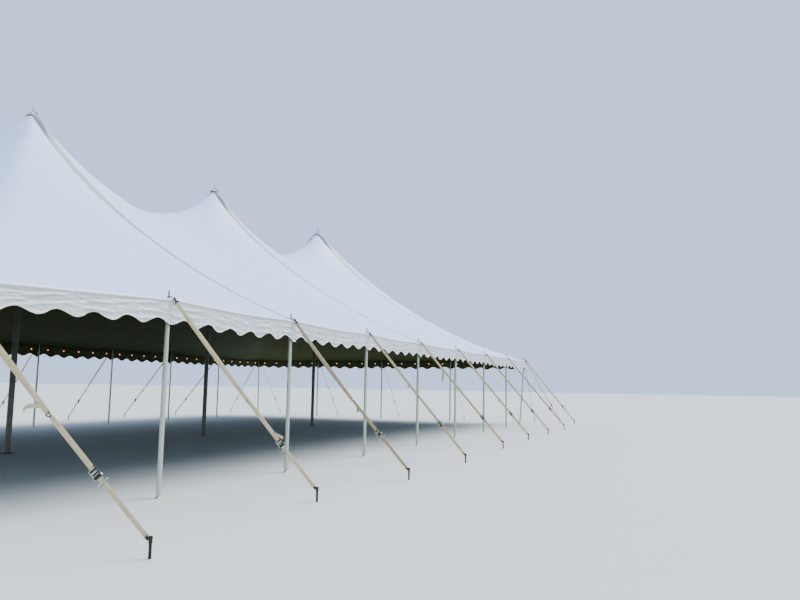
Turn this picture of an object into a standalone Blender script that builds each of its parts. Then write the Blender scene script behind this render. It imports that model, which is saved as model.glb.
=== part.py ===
"""White pole marquee: three centre poles, side poles, laced roof sections, webbing guys and stakes.

The frame has +Z up and its origin on the ground at the middle of the footprint. X runs along the
tent and Y across it. Run it with blender --background --python part.py, or from the text editor.
"""

import math

import bmesh
import bpy
import numpy as np
from mathutils import Matrix, Vector
from mathutils.bvhtree import BVHTree

# Plan and heights, in metres
BAY = 3.048  # spacing of the side poles, ten feet
SECTION_BAYS = 2  # bays along the eave of one roof section
SECTIONS = 4  # roof sections, laced together over the centre poles
EAVE_HEIGHT = 2.458  # roof cloth at the side poles
PEAK_HEIGHT = 6.775  # roof cloth at the centre poles
EAVE_SAG = 0.02  # dip of the eave between two side poles
SLACK_CORNER_DROP = 0.15  # the near left corner stands this much lower
EAVE_OVERHANG = 0.05  # roof cloth past the line of the side poles

# Pull in the roof, as multiples of the plain cloth's
PEAK_PULL = 0.461  # extra pull near a peak, times one metre over the distance to it
PEAK_PULL_REACH = 0.12  # closer than this to a peak the pull no longer grows
RIDGE_PULL = 4.071  # webbing from peak to peak
HIP_PULL = 10.342  # webbing from an end peak to its corners
CLOTH_WEIGHT = 0.097  # weight of the cloth against its pull, per metre

# Roof cloth and valance
CLOTH = 0.008  # thickness of the cloth, thicker than real vinyl
SEAM_GAP = 0.0003  # between two sections where they are laced
SCALLOPS_PER_BAY = 6
VALANCE_DROP = 0.33  # at a lobe
SCALLOP_DEPTH = 0.08  # from a lobe's bottom up to the notch beside it
NET_CELLS = 8  # cells per bay of the net that gives the roof its form
SHELL_CELLS = 4  # cells per bay of the roof's own faces
POINTS_PER_SCALLOP = 4

# Side poles
TUBE_RADIUS = 0.0285
FOOT_RADIUS = 0.045
FOOT_THICKNESS = 0.01
SLEEVE_RADIUS = 0.033
SLEEVE_HEIGHT = 1.62  # middle of the sleeve that joins a pole's two lengths
SLEEVE_LENGTH = 0.08
SHOULDER_RADIUS = 0.018
SHOULDER_TAPER = 0.03
PIN_RADIUS = 0.0095
PIN_ABOVE_ROOF = 0.10
CORNER_LEAN = 0.14  # foot of a corner pole, inboard of its top along X and along Y

# Centre poles
MAST_RADIUS = 0.055
MAST_FOOT_RADIUS = 0.12
MAST_FOOT_THICKNESS = 0.012
MAST_SLEEVE_RADIUS = 0.062
MAST_SLEEVE_HEIGHT = 3.2
MAST_SLEEVE_LENGTH = 0.30
MAST_SHOULDER_RADIUS = 0.025
MAST_SHOULDER_TAPER = 0.08
MAST_PIN_RADIUS = 0.0125
MAST_PIN_ABOVE_ROOF = 0.16
CROWN_RADIUS = 0.08
CROWN_TOP_RADIUS = 0.045
CROWN_HEIGHT = 0.02  # above the cloth's peak
CROWN_WALL = 0.012

# Guys
END_GUY_REACH = 2.03  # from the pole's pin straight out to the stake, at the tent's ends
LONG_SIDE_STAKES = (  # of the poles between two corners: along the side, then out from it
    (0.63, 1.84),
    (0.05, 2.09),
    (-0.25, 2.17),
    (0.27, 2.02),
    (0.22, 2.00),
    (-0.05, 2.03),
    (-0.06, 2.03),
)
LEFT_CORNER_GUYS = ((0.0, 2.03), (31.0, 2.10), (105.0, 2.07))  # degrees off the long axis, reach
RIGHT_CORNER_GUYS = ((0.0, 2.03), (31.0, 2.10), (71.0, 1.95))
STRAP_WIDTH = 0.05
STRAP_THICKNESS = 0.006
PLATE_WIDTH = 0.048
PLATE_THICKNESS = 0.007
PLATE_BEHIND_PIN = 0.02
PLATE_BEYOND_EAVE = 0.06
CORNER_PLATE_RADIUS = 0.08
RATCHET_AT = 0.755  # share of the way down the strap
RATCHET_SIZE = (0.13, 0.034, 0.078)  # along the strap, through it and across it
HANDLE_AT = 0.785
HANDLE_SIZE = (0.02, 0.02, 0.11)
STAKE_RADIUS = 0.0135
STAKE_HEIGHT = 0.18
STAKE_HEAD_RADIUS = 0.021
STAKE_HEAD_THICKNESS = 0.014
TIE_BELOW_TOP = 0.03  # where the strap meets its stake

# String of lamps under the eave
CABLE_RADIUS = 0.005
CABLE_BELOW_EAVE = 0.10
CABLE_SAG = 0.03
LAMPS_PER_BAY = 5
LAMP_RADIUS = 0.016
LAMP_DROP = 0.055

TOUCH_GAP = 0.0003  # between two pieces that rest on each other
PIN_CLEARANCE = 0.0005  # round a pin in its hole
POLE_SIDES = 8
MAST_SIDES = 12
STAKE_SIDES = 6
PLATE_SAMPLES = 8  # places along and across a plate where the cloth is measured
RIM_SAMPLES = 48  # places round a pole's top, its corners among them, where the cloth is measured
SMOOTH_ANGLE = math.radians(50)

BAYS_LONG = SECTIONS * SECTION_BAYS
BAYS_WIDE = 2 * SECTION_BAYS
HALF_LENGTH = BAYS_LONG * BAY / 2
HALF_WIDTH = BAYS_WIDE * BAY / 2
SECTION_LENGTH = SECTION_BAYS * BAY
PEAKS = [SECTION_LENGTH * (k - SECTIONS / 2) for k in range(1, SECTIONS)]


def clear_scene():
    for old in list(bpy.data.objects):
        bpy.data.objects.remove(old, do_unlink=True)


def material(name, colour, roughness, metallic=0.0):
    made = bpy.data.materials.new(name)
    made.use_nodes = True
    shader = made.node_tree.nodes["Principled BSDF"]
    shader.inputs["Base Color"].default_value = (*colour, 1.0)
    shader.inputs["Roughness"].default_value = roughness
    shader.inputs["Metallic"].default_value = metallic
    made.diffuse_color = (*colour, 1.0)
    return made


def place(name, mesh, finish, parent, at=(0.0, 0.0, 0.0)):
    """One named object for one piece of the tent."""
    made = bpy.data.objects.new(name, mesh)
    bpy.context.scene.collection.objects.link(made)
    made.location = at
    made.parent = parent
    if not mesh.materials:
        mesh.materials.append(finish)
    return made


def mesh_from(shape, name):
    mesh = bpy.data.meshes.new(name)
    shape.to_mesh(mesh)
    shape.free()
    return mesh


def smooth_round(mesh):
    mesh.shade_smooth()
    mesh.set_sharp_from_angle(angle=SMOOTH_ANGLE)


def combine(name, base, others, operation):
    """The mesh that is left when the others are joined to, or cut from, the base.

    The exact solver loses a whole roof section where a mast's pin meets the apex, and leaves
    several bodies where a corner's guys meet on their plate, so this uses the manifold one.
    """
    scene = bpy.context.scene.collection
    body = bpy.data.objects.new(name, base)
    scene.objects.link(body)
    helpers = []
    for mesh in others:
        helper = bpy.data.objects.new(name + "_helper", mesh)
        scene.objects.link(helper)
        helpers.append(helper)
        step = body.modifiers.new("combine", "BOOLEAN")
        step.operation = operation
        step.solver = "MANIFOLD"
        step.object = helper
    bpy.context.view_layer.update()
    graph = bpy.context.evaluated_depsgraph_get()
    made = bpy.data.meshes.new_from_object(body.evaluated_get(graph))
    made.name = name
    for used in [body, *helpers]:
        bpy.data.objects.remove(used, do_unlink=True)
    return made


# Form of the roof


def eave_heights(along, left_drop):
    """Heights along one eave, whose first end is lowered, for places measured from its middle."""
    half = along[-1]
    poles = np.linspace(-half, half, round(2 * half / BAY) + 1)
    heights = np.full(len(poles), EAVE_HEIGHT)
    heights[0] -= left_drop
    sag = EAVE_SAG * np.sin(np.pi * (along - poles[0]) / BAY) ** 2
    return np.interp(along, poles, heights) - sag


def pull_of_cloth(x, y):
    pull = np.ones_like(x)
    for peak in PEAKS:
        pull = pull + PEAK_PULL / np.maximum(np.hypot(x - peak, y), PEAK_PULL_REACH)
    return pull


def tie(ties, first, second, pull):
    """Adds a pull between each pair of knots to the table of ties."""
    first, second = first.ravel(), second.ravel()
    pull = np.broadcast_to(pull, first.shape) if np.ndim(pull) == 0 else pull.ravel()
    np.add.at(ties, (first, first), pull)
    np.add.at(ties, (second, second), pull)
    np.add.at(ties, (first, second), -pull)
    np.add.at(ties, (second, first), -pull)


def roof_form():
    """Lines and heights of a net hung between the peaks and the eave, finer than the roof's faces."""
    step = BAY / NET_CELLS
    x_lines = np.linspace(-HALF_LENGTH, HALF_LENGTH, BAYS_LONG * NET_CELLS + 1)
    y_lines = np.linspace(-HALF_WIDTH, HALF_WIDTH, BAYS_WIDE * NET_CELLS + 1)
    columns, rows = len(x_lines), len(y_lines)
    knot = np.arange(columns * rows).reshape(columns, rows)
    ties = np.zeros((columns * rows, columns * rows))
    between_x, at_y = np.meshgrid(x_lines[:-1] + step / 2, y_lines, indexing="ij")
    tie(ties, knot[:-1], knot[1:], pull_of_cloth(between_x, at_y))
    at_x, between_y = np.meshgrid(x_lines, y_lines[:-1] + step / 2, indexing="ij")
    tie(ties, knot[:, :-1], knot[:, 1:], pull_of_cloth(at_x, between_y))

    end_cells = SECTION_BAYS * NET_CELLS
    middle = rows // 2
    ridge = knot[end_cells : columns - end_cells, middle]
    tie(ties, ridge[:-1], ridge[1:], RIDGE_PULL / step)
    diagonal = np.arange(end_cells + 1)
    for grid in (knot, knot[::-1], knot[:, ::-1], knot[::-1, ::-1]):
        hip = grid[diagonal, diagonal]
        tie(ties, hip[:-1], hip[1:], HIP_PULL / (step * math.sqrt(2)))

    heights = np.zeros((columns, rows))
    held = np.zeros((columns, rows), bool)
    heights[:, 0] = eave_heights(x_lines, SLACK_CORNER_DROP)
    heights[:, -1] = eave_heights(x_lines, 0.0)
    heights[0, :] = eave_heights(y_lines, SLACK_CORNER_DROP)
    heights[-1, :] = eave_heights(y_lines, 0.0)
    held[[0, -1], :] = True
    held[:, [0, -1]] = True
    for number in range(1, SECTIONS):
        heights[number * end_cells, middle] = PEAK_HEIGHT
        held[number * end_cells, middle] = True

    flat, fixed = heights.ravel(), held.ravel()
    load = -ties[np.ix_(~fixed, fixed)] @ flat[fixed] - CLOTH_WEIGHT * step**2
    flat[~fixed] = np.linalg.solve(ties[np.ix_(~fixed, ~fixed)], load)
    return x_lines, y_lines, flat.reshape(columns, rows)


def past_edge(heights, share):
    """Carries the slope of the outermost cells on past the line of the side poles."""
    moved = heights.copy()
    moved[0] -= share * (heights[1] - heights[0])
    moved[-1] -= share * (heights[-2] - heights[-1])
    return moved


class Roof:
    """Lines and heights of the roof's faces, the outermost lines moved out to the eave's edge."""

    def __init__(self):
        x_lines, y_lines, heights = roof_form()
        skip = NET_CELLS // SHELL_CELLS
        self.x_plan, self.y_plan = x_lines[::skip], y_lines[::skip]
        share = EAVE_OVERHANG * SHELL_CELLS / BAY
        self.z = past_edge(past_edge(heights[::skip, ::skip], share).T, share).T
        self.x, self.y = self.x_plan.copy(), self.y_plan.copy()
        for lines in (self.x, self.y):
            lines[0] -= EAVE_OVERHANG
            lines[-1] += EAVE_OVERHANG


# Roof sections and valance


def valance_drop(along):
    """Depth of the valance at a distance along the eave from a pole, with a lobe at each pole."""
    wave = math.cos(2 * math.pi * SCALLOPS_PER_BAY * along / BAY)
    return VALANCE_DROP - SCALLOP_DEPTH * (1 - wave) / 2


class Section:
    """One closed shell of roof cloth from seam to seam, with its stretch of valance."""

    def __init__(self, roof, first, last):
        self.roof = roof
        self.first, self.last = first, last
        self.end, self.far = len(roof.x) - 1, len(roof.y) - 1
        self.shape = bmesh.new()
        self.top, self.under = {}, {}
        self.rim_top, self.rim_under = {}, {}
        self.hem_out, self.hem_in = {}, {}

    def face(self, *corners):
        self.shape.faces.new(corners)

    def seam_shift(self, i):
        """How far a seam's edge is pulled back into this section."""
        if i == self.first and i > 0:
            return SEAM_GAP / 2
        return -SEAM_GAP / 2 if i == self.last and i < self.end else 0.0

    def inset(self, index, last):
        """Step inwards from the eave's outer face to the inner one."""
        if index == 0:
            return CLOTH
        return -CLOTH if index == last else 0.0

    def add_points(self):
        roof = self.roof
        for i in range(self.first, self.last + 1):
            x = roof.x[i] + self.seam_shift(i)
            for j in range(self.far + 1):
                y, z = roof.y[j], roof.z[i, j]
                inner_x, inner_y = x + self.inset(i, self.end), y + self.inset(j, self.far)
                self.top[i, j] = self.shape.verts.new((x, y, z))
                self.under[i, j] = self.shape.verts.new((inner_x, inner_y, z - CLOTH))

    def eave_edges(self):
        """Edges of the grid that lie on the eave, anticlockwise from above."""
        edges = [((i, 0), (i + 1, 0)) for i in range(self.first, self.last)]
        edges += [((i + 1, self.far), (i, self.far)) for i in range(self.first, self.last)]
        if self.last == self.end:
            edges += [((self.end, j), (self.end, j + 1)) for j in range(self.far)]
        if self.first == 0:
            edges += [((0, j + 1), (0, j)) for j in range(self.far)]
        return edges

    def split(self, line, start, end, parts):
        """The points along one edge, its two ends among them."""
        a, b = line[start], line[end]
        between = [
            self.shape.verts.new(a.co.lerp(b.co, part / parts)) for part in range(1, parts)
        ]
        return [a, *between, b]

    def add_rim(self, start, end):
        """Splits one eave edge into the valance's columns and hangs the valance from it."""
        parts = SCALLOPS_PER_BAY * POINTS_PER_SCALLOP // SHELL_CELLS
        axis = 0 if start[1] == end[1] else 1
        plan = (self.roof.x_plan, self.roof.y_plan)[axis]
        places = np.linspace(plan[start[axis]], plan[end[axis]], parts + 1) - plan[0]
        tops = self.split(self.top, start, end, parts)
        unders = self.split(self.under, start, end, parts)
        for above, below, along in zip(tops, unders, places):
            if above in self.hem_out:
                continue
            bottom = above.co.z - valance_drop(along)
            self.hem_out[above] = self.shape.verts.new((above.co.x, above.co.y, bottom))
            self.hem_in[above] = self.shape.verts.new((below.co.x, below.co.y, bottom))
        self.rim_top[start, end] = tops
        self.rim_under[start, end] = unders
        for k in range(parts):
            a, b = tops[k], tops[k + 1]
            self.face(self.hem_out[a], self.hem_out[b], b, a)
            self.face(self.hem_in[b], self.hem_in[a], unders[k], unders[k + 1])
            self.face(self.hem_in[a], self.hem_in[b], self.hem_out[b], self.hem_out[a])

    def towards_peak(self, i, j):
        """Whether the diagonal that rises with both of a cell's lines points at the nearest peak."""
        x = (self.roof.x[i] + self.roof.x[i + 1]) / 2
        nearest = min(PEAKS, key=lambda peak: abs(peak - x))
        return (x < nearest) == (2 * j < self.far)

    def add_cell(self, i, j, points, rims, flip):
        """One cell of the grid, split towards the nearest peak, or fanned to the eave's points."""
        nodes = [(i, j), (i + 1, j), (i + 1, j + 1), (i, j + 1)]
        ring, on_rim = [], set()
        for start, end in zip(nodes, nodes[1:] + nodes[:1]):
            if (start, end) in rims:
                ring += rims[start, end][:-1]
                on_rim |= {start, end}
            else:
                ring.append(points[start])
        if not on_rim:
            a, b, c, d = ring
            pair = ((a, b, c), (a, c, d)) if self.towards_peak(i, j) else ((a, b, d), (b, c, d))
            for half in pair:
                self.face(*(half[::-1] if flip else half))
            return
        hub = points[next(node for node in reversed(nodes) if node not in on_rim)]
        for a, b in zip(ring, ring[1:] + ring[:1]):
            if hub not in (a, b):
                self.face(*((hub, b, a) if flip else (hub, a, b)))

    def close_seam(self, i, flip):
        """The cut edge of the cloth along one seam, with the valance's ends."""
        top, under = self.top, self.under
        quads = [
            (under[i, j], under[i, j + 1], top[i, j + 1], top[i, j]) for j in range(self.far)
        ]
        near, far = top[i, 0], top[i, self.far]
        quads.append((self.hem_out[near], self.hem_in[near], under[i, 0], near))
        quads.append((self.hem_in[far], self.hem_out[far], far, under[i, self.far]))
        for quad in quads:
            self.face(*(quad[::-1] if flip else quad))

    def mesh(self, name):
        self.add_points()
        for start, end in self.eave_edges():
            self.add_rim(start, end)
        for i in range(self.first, self.last):
            for j in range(self.far):
                self.add_cell(i, j, self.top, self.rim_top, False)
                self.add_cell(i, j, self.under, self.rim_under, True)
        if self.first > 0:
            self.close_seam(self.first, True)
        if self.last < self.end:
            self.close_seam(self.last, False)
        return mesh_from(self.shape, name)


class Cloth:
    """The finished roof cloth, asked for its height over or under points of the plan."""

    def __init__(self, meshes):
        self.trees = []
        for mesh in meshes:
            points = [vertex.co for vertex in mesh.vertices]
            faces = [tuple(face.vertices) for face in mesh.polygons]
            self.trees.append(BVHTree.FromPolygons(points, faces))

    def heights(self, spots, start, way):
        """Heights where upright lines through the spots first meet the cloth; a seam gives none."""
        found = []
        for x, y in spots:
            for tree in self.trees:
                hit = tree.ray_cast(Vector((x, y, start)), Vector((0.0, 0.0, way)))[0]
                if hit:
                    found.append(hit.z)
        return found

    def highest_over(self, spots):
        return max(self.heights(spots, 2 * PEAK_HEIGHT, -1.0))

    def lowest_under(self, spots):
        return min(self.heights(spots, EAVE_HEIGHT / 2, 1.0))


def rim_points(x, y, radius):
    turns = np.linspace(0, 2 * np.pi, RIM_SAMPLES, endpoint=False)
    return [(x + radius * math.cos(turn), y + radius * math.sin(turn)) for turn in turns]


def prism(x, y, radius, low, high, sides):
    """An upright prism with its corners where a turned pole of as many sides has them."""
    shape = bmesh.new()
    bottom = []
    for k in range(sides):
        turn = 2 * math.pi * (k + 0.5) / sides
        at = (x + radius * math.cos(turn), y + radius * math.sin(turn), low)
        bottom.append(shape.verts.new(at))
    base = shape.faces.new(bottom[::-1])
    grown = bmesh.ops.extrude_face_region(shape, geom=[base])
    lifted = [part for part in grown["geom"] if isinstance(part, bmesh.types.BMVert)]
    bmesh.ops.translate(shape, verts=lifted, vec=(0.0, 0.0, high - low))
    bmesh.ops.recalc_face_normals(shape, faces=shape.faces)
    return mesh_from(shape, "prism")


def cut_pin_holes(mesh, name, x_low, x_high, pins):
    """Holes for the pins that stand within one section or on its edge."""
    reach = 2 * MAST_PIN_RADIUS
    low, high = EAVE_HEIGHT / 2, 2 * PEAK_HEIGHT
    cutters = [
        prism(x, y, radius + PIN_CLEARANCE, low, high, sides)
        for x, y, radius, sides in pins
        if x_low - reach < x < x_high + reach
    ]
    return combine(name, mesh, cutters, "DIFFERENCE")


# Poles


def turned(name, profile, sides, lean=(0.0, 0.0), lean_top=1.0):
    """A turned solid from (radius, height) points, its foot moved by the lean, upright above lean_top."""
    shape = bmesh.new()
    rings = []
    for radius, z in profile:
        left = max(0.0, 1 - z / lean_top)
        ring = []
        for k in range(sides):
            turn = 2 * math.pi * (k + 0.5) / sides
            x = lean[0] * left + radius * math.cos(turn)
            y = lean[1] * left + radius * math.sin(turn)
            ring.append(shape.verts.new((x, y, z)))
        rings.append(ring)
    shape.faces.new(rings[0][::-1])
    shape.faces.new(rings[-1])
    for low, high in zip(rings, rings[1:]):
        for k in range(sides):
            after = (k + 1) % sides
            shape.faces.new((low[k], low[after], high[after], high[k]))
    mesh = mesh_from(shape, name)
    smooth_round(mesh)
    return mesh


def side_pole_mesh(cloth, x, y, roof_height, lean, name):
    """A side pole whose shoulder bears on the cloth and whose pin stands through it."""
    shoulder = cloth.lowest_under(rim_points(x, y, SHOULDER_RADIUS)) - TOUCH_GAP
    full = cloth.lowest_under(rim_points(x, y, TUBE_RADIUS)) - SHOULDER_TAPER
    profile = [
        (FOOT_RADIUS, 0.0),
        (FOOT_RADIUS, FOOT_THICKNESS),
        (TUBE_RADIUS, FOOT_THICKNESS),
        (TUBE_RADIUS, SLEEVE_HEIGHT - SLEEVE_LENGTH / 2),
        (SLEEVE_RADIUS, SLEEVE_HEIGHT),
        (TUBE_RADIUS, SLEEVE_HEIGHT + SLEEVE_LENGTH / 2),
        (TUBE_RADIUS, full),
        (SHOULDER_RADIUS, shoulder),
        (PIN_RADIUS, shoulder),
        (PIN_RADIUS, roof_height + PIN_ABOVE_ROOF),
    ]
    return turned(name, profile, POLE_SIDES, lean, full)


def centre_pole_mesh(cloth, x, name):
    """A mast with its pin through the roof and a small crown that covers the hole."""
    shoulder = cloth.lowest_under(rim_points(x, 0.0, MAST_SHOULDER_RADIUS)) - TOUCH_GAP
    full = cloth.lowest_under(rim_points(x, 0.0, MAST_RADIUS)) - MAST_SHOULDER_TAPER
    flats = (CROWN_RADIUS - CROWN_WALL) * math.cos(math.pi / MAST_SIDES)
    skirt = cloth.highest_over(rim_points(x, 0.0, flats)) + TOUCH_GAP
    crown_top = PEAK_HEIGHT + CROWN_HEIGHT
    sleeve_low = MAST_SLEEVE_HEIGHT - MAST_SLEEVE_LENGTH / 2
    sleeve_high = MAST_SLEEVE_HEIGHT + MAST_SLEEVE_LENGTH / 2
    profile = [
        (MAST_FOOT_RADIUS, 0.0),
        (MAST_FOOT_RADIUS, MAST_FOOT_THICKNESS),
        (MAST_RADIUS, MAST_FOOT_THICKNESS),
        (MAST_RADIUS, sleeve_low),
        (MAST_SLEEVE_RADIUS, sleeve_low),
        (MAST_SLEEVE_RADIUS, sleeve_high),
        (MAST_RADIUS, sleeve_high),
        (MAST_RADIUS, full),
        (MAST_SHOULDER_RADIUS, shoulder),
        (MAST_PIN_RADIUS, shoulder),
        (MAST_PIN_RADIUS, crown_top - CROWN_WALL),
        (CROWN_RADIUS - CROWN_WALL, skirt),
        (CROWN_RADIUS, skirt),
        (CROWN_TOP_RADIUS, crown_top),
        (MAST_PIN_RADIUS, crown_top),
        (MAST_PIN_RADIUS, PEAK_HEIGHT + MAST_PIN_ABOVE_ROOF),
    ]
    return turned(name, profile, MAST_SIDES)


# Guys and stakes


def box(size, middle, tilt=0.0, turn=0.0):
    """A block tilted down from the horizontal, then turned about the upright through the origin."""
    shape = bmesh.new()
    placed = (
        Matrix.Rotation(turn, 4, "Z")
        @ Matrix.Translation(Vector(middle))
        @ Matrix.Rotation(tilt, 4, "Y")
        @ Matrix.Diagonal((*size, 1.0))
    )
    bmesh.ops.create_cube(shape, size=1.0, matrix=placed)
    return mesh_from(shape, "box")


def guy_parts(plate_z, turn, reach):
    """Strap on edge, ratchet, handle and stake of one guy, outwards along +X before the turn."""
    top = Vector((EAVE_OVERHANG + PLATE_BEYOND_EAVE / 2, 0.0, plate_z))
    tie_point = Vector((reach, 0.0, STAKE_HEIGHT - TIE_BELOW_TOP))
    tilt = math.atan2(top.z - tie_point.z, tie_point.x - top.x)
    strap_size = ((tie_point - top).length, STRAP_THICKNESS, STRAP_WIDTH)
    stake = turned(
        "stake",
        [
            (STAKE_RADIUS, 0.0),
            (STAKE_RADIUS, STAKE_HEIGHT - STAKE_HEAD_THICKNESS),
            (STAKE_HEAD_RADIUS, STAKE_HEIGHT - STAKE_HEAD_THICKNESS),
            (STAKE_HEAD_RADIUS, STAKE_HEIGHT),
        ],
        STAKE_SIDES,
    )
    stake.transform(Matrix.Rotation(turn, 4, "Z") @ Matrix.Translation((reach, 0.0, 0.0)))
    return [
        box(strap_size, (top + tie_point) / 2, tilt, turn),
        box(RATCHET_SIZE, top.lerp(tie_point, RATCHET_AT), tilt, turn),
        box(HANDLE_SIZE, top.lerp(tie_point, HANDLE_AT), tilt, turn),
        stake,
    ]


def side_plate(plate_z, turn):
    """The ring plate of one guy, from behind the pin to beyond the eave."""
    end = EAVE_OVERHANG + PLATE_BEYOND_EAVE
    size = (end + PLATE_BEHIND_PIN, PLATE_WIDTH, PLATE_THICKNESS)
    return box(size, ((end - PLATE_BEHIND_PIN) / 2, 0.0, plate_z), turn=turn)


def corner_plate(plate_z, x, y):
    """The round ring plate that the three guys of the corner at (x, y) share."""
    middle = corner_plate_middle(x, y)
    low, high = plate_z - PLATE_THICKNESS / 2, plate_z + PLATE_THICKNESS / 2
    return prism(*middle, CORNER_PLATE_RADIUS, low, high, MAST_SIDES)


def corner_plate_middle(x, y):
    """Middle of a corner's plate, from its pin."""
    out = (EAVE_OVERHANG + PLATE_BEYOND_EAVE - PLATE_BEHIND_PIN) / 2
    return math.copysign(out, x), math.copysign(out, y)


def guy_mesh(name, plate, plate_z, guys):
    """The guys, each a turn and a reach, that share one ring plate on a pole's pin, as one body."""
    parts = [part for turn, reach in guys for part in guy_parts(plate_z, turn, reach)]
    joined = combine(name, plate, parts, "UNION")
    low, high = plate_z - PLATE_WIDTH, plate_z + PLATE_WIDTH
    hole = prism(0.0, 0.0, PIN_RADIUS + PIN_CLEARANCE, low, high, POLE_SIDES)
    return combine(name, joined, [hole], "DIFFERENCE")


def side_plate_height(cloth, x, y, turn):
    """Middle height of a side plate that clears the roof under all of its length."""
    out = Vector((math.cos(turn), math.sin(turn)))
    across = Vector((-out.y, out.x))
    spots = [
        Vector((x, y)) + out * along + across * side
        for along in np.linspace(-PLATE_BEHIND_PIN, EAVE_OVERHANG, PLATE_SAMPLES)
        for side in np.linspace(-PLATE_WIDTH / 2, PLATE_WIDTH / 2, PLATE_SAMPLES)
    ]
    return cloth.highest_over(spots) + TOUCH_GAP + PLATE_THICKNESS / 2


def corner_plate_height(cloth, x, y):
    middle = corner_plate_middle(x, y)
    spots = [
        spot
        for radius in np.linspace(0, CORNER_PLATE_RADIUS, PLATE_SAMPLES)
        for spot in rim_points(x + middle[0], y + middle[1], radius)
    ]
    return cloth.highest_over(spots) + TOUCH_GAP + PLATE_THICKNESS / 2


# String of lamps


def corner_drop(spot):
    """How much lower than the eave height the eave hangs near the slack corner."""
    along = spot.x + HALF_LENGTH + spot.y + HALF_WIDTH
    return SLACK_CORNER_DROP * max(0.0, 1 - along / BAY)


def lamp_stations():
    """Stations round the inside of the poles: place, way out, dip and whether a lamp hangs there."""
    inset = TUBE_RADIUS * math.cos(math.pi / POLE_SIDES) + CABLE_RADIUS + TOUCH_GAP
    half_x, half_y = HALF_LENGTH - inset, HALF_WIDTH - inset
    sides = (
        (Vector((1, 0)), half_x, half_y, BAYS_LONG),
        (Vector((0, 1)), half_y, half_x, BAYS_WIDE),
        (Vector((-1, 0)), half_x, half_y, BAYS_LONG),
        (Vector((0, -1)), half_y, half_x, BAYS_WIDE),
    )
    stations = []
    for along, half, away, bays in sides:
        out = Vector((along.y, -along.x))
        stations.append((out * away - along * half, out - along, 0.0, False))
        for k in range(bays * LAMPS_PER_BAY):
            share = (k + 0.5) / LAMPS_PER_BAY
            lamp = out * away + along * BAY * (share - bays / 2)
            dip = CABLE_SAG * math.sin(math.pi * share) ** 2
            for step in (-LAMP_RADIUS, 0.0, LAMP_RADIUS):
                stations.append((lamp + along * step, out, dip, step == 0.0))
    return stations


def lamp_string_mesh():
    """A three-sided cable, closed on itself, that swells into each lamp."""
    shape = bmesh.new()
    rings = []
    for spot, out, dip, lamp in lamp_stations():
        z = EAVE_HEIGHT - corner_drop(spot) - CABLE_BELOW_EAVE - dip
        width = 2 * (LAMP_RADIUS if lamp else CABLE_RADIUS)
        drop = LAMP_DROP if lamp else CABLE_RADIUS
        outer = spot + out * CABLE_RADIUS
        points = (
            (outer, z + CABLE_RADIUS),
            (outer - out * width, z + CABLE_RADIUS),
            (outer - out * width / 2, z - drop),
        )
        rings.append([shape.verts.new((*at, height)) for at, height in points])
    for ring, after in zip(rings, rings[1:] + rings[:1]):
        for k in range(3):
            m = (k + 1) % 3
            shape.faces.new((ring[k], after[k], after[m], ring[m]))
    bmesh.ops.recalc_face_normals(shape, faces=shape.faces)
    return mesh_from(shape, "lamp_string")


# The whole tent


def side_pole_spots():
    """Name, place and corner flag of each side pole."""
    spots = []
    for side, y in (("near", -HALF_WIDTH), ("far", HALF_WIDTH)):
        for k in range(BAYS_LONG + 1):
            x = -HALF_LENGTH + k * BAY
            spots.append((f"{side}_{k}", x, y, k in (0, BAYS_LONG)))
    for side, x in (("left", -HALF_LENGTH), ("right", HALF_LENGTH)):
        for k in range(1, BAYS_WIDE):
            spots.append((f"{side}_{k}", x, -HALF_WIDTH + k * BAY, False))
    return spots


def corner_guys(x, y):
    """Turn and reach of each guy at a corner, those of the far side mirroring the near side's."""
    guys = []
    for angle, reach in RIGHT_CORNER_GUYS if x > 0 else LEFT_CORNER_GUYS:
        out = math.radians(angle)
        along = math.cos(out) if x > 0 else -math.cos(out)
        guys.append((math.atan2(math.copysign(math.sin(out), y), along), reach))
    return guys


def side_guy(label, y):
    """Turn and reach of the one guy at a pole between two corners."""
    side, number = label.split("_")
    if side in ("left", "right"):
        return (math.pi if side == "left" else 0.0), END_GUY_REACH
    along, out = LONG_SIDE_STAKES[int(number) - 1]
    return math.atan2(math.copysign(out, y), along), math.hypot(along, out)


def add_roof(roof, spots, finish, tent):
    """Makes the roof's sections and returns their cloth, as it is before the holes are cut."""
    pins = [(x, y, PIN_RADIUS, POLE_SIDES) for _, x, y, _ in spots]
    pins += [(x, 0.0, MAST_PIN_RADIUS, MAST_SIDES) for x in PEAKS]
    names = ["canopy_left_end"]
    names += [f"canopy_middle_{k}" for k in range(1, SECTIONS - 1)]
    names += ["canopy_right_end"]
    cells = SECTION_BAYS * SHELL_CELLS
    shells = [
        Section(roof, k * cells, (k + 1) * cells).mesh(name) for k, name in enumerate(names)
    ]
    cloth = Cloth(shells)
    for k, (name, shell) in enumerate(zip(names, shells)):
        x_low = -HALF_LENGTH + k * SECTION_LENGTH
        cut = cut_pin_holes(shell, name, x_low, x_low + SECTION_LENGTH, pins)
        smooth_round(cut)
        place(name, cut, finish, tent)
    return cloth


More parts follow.
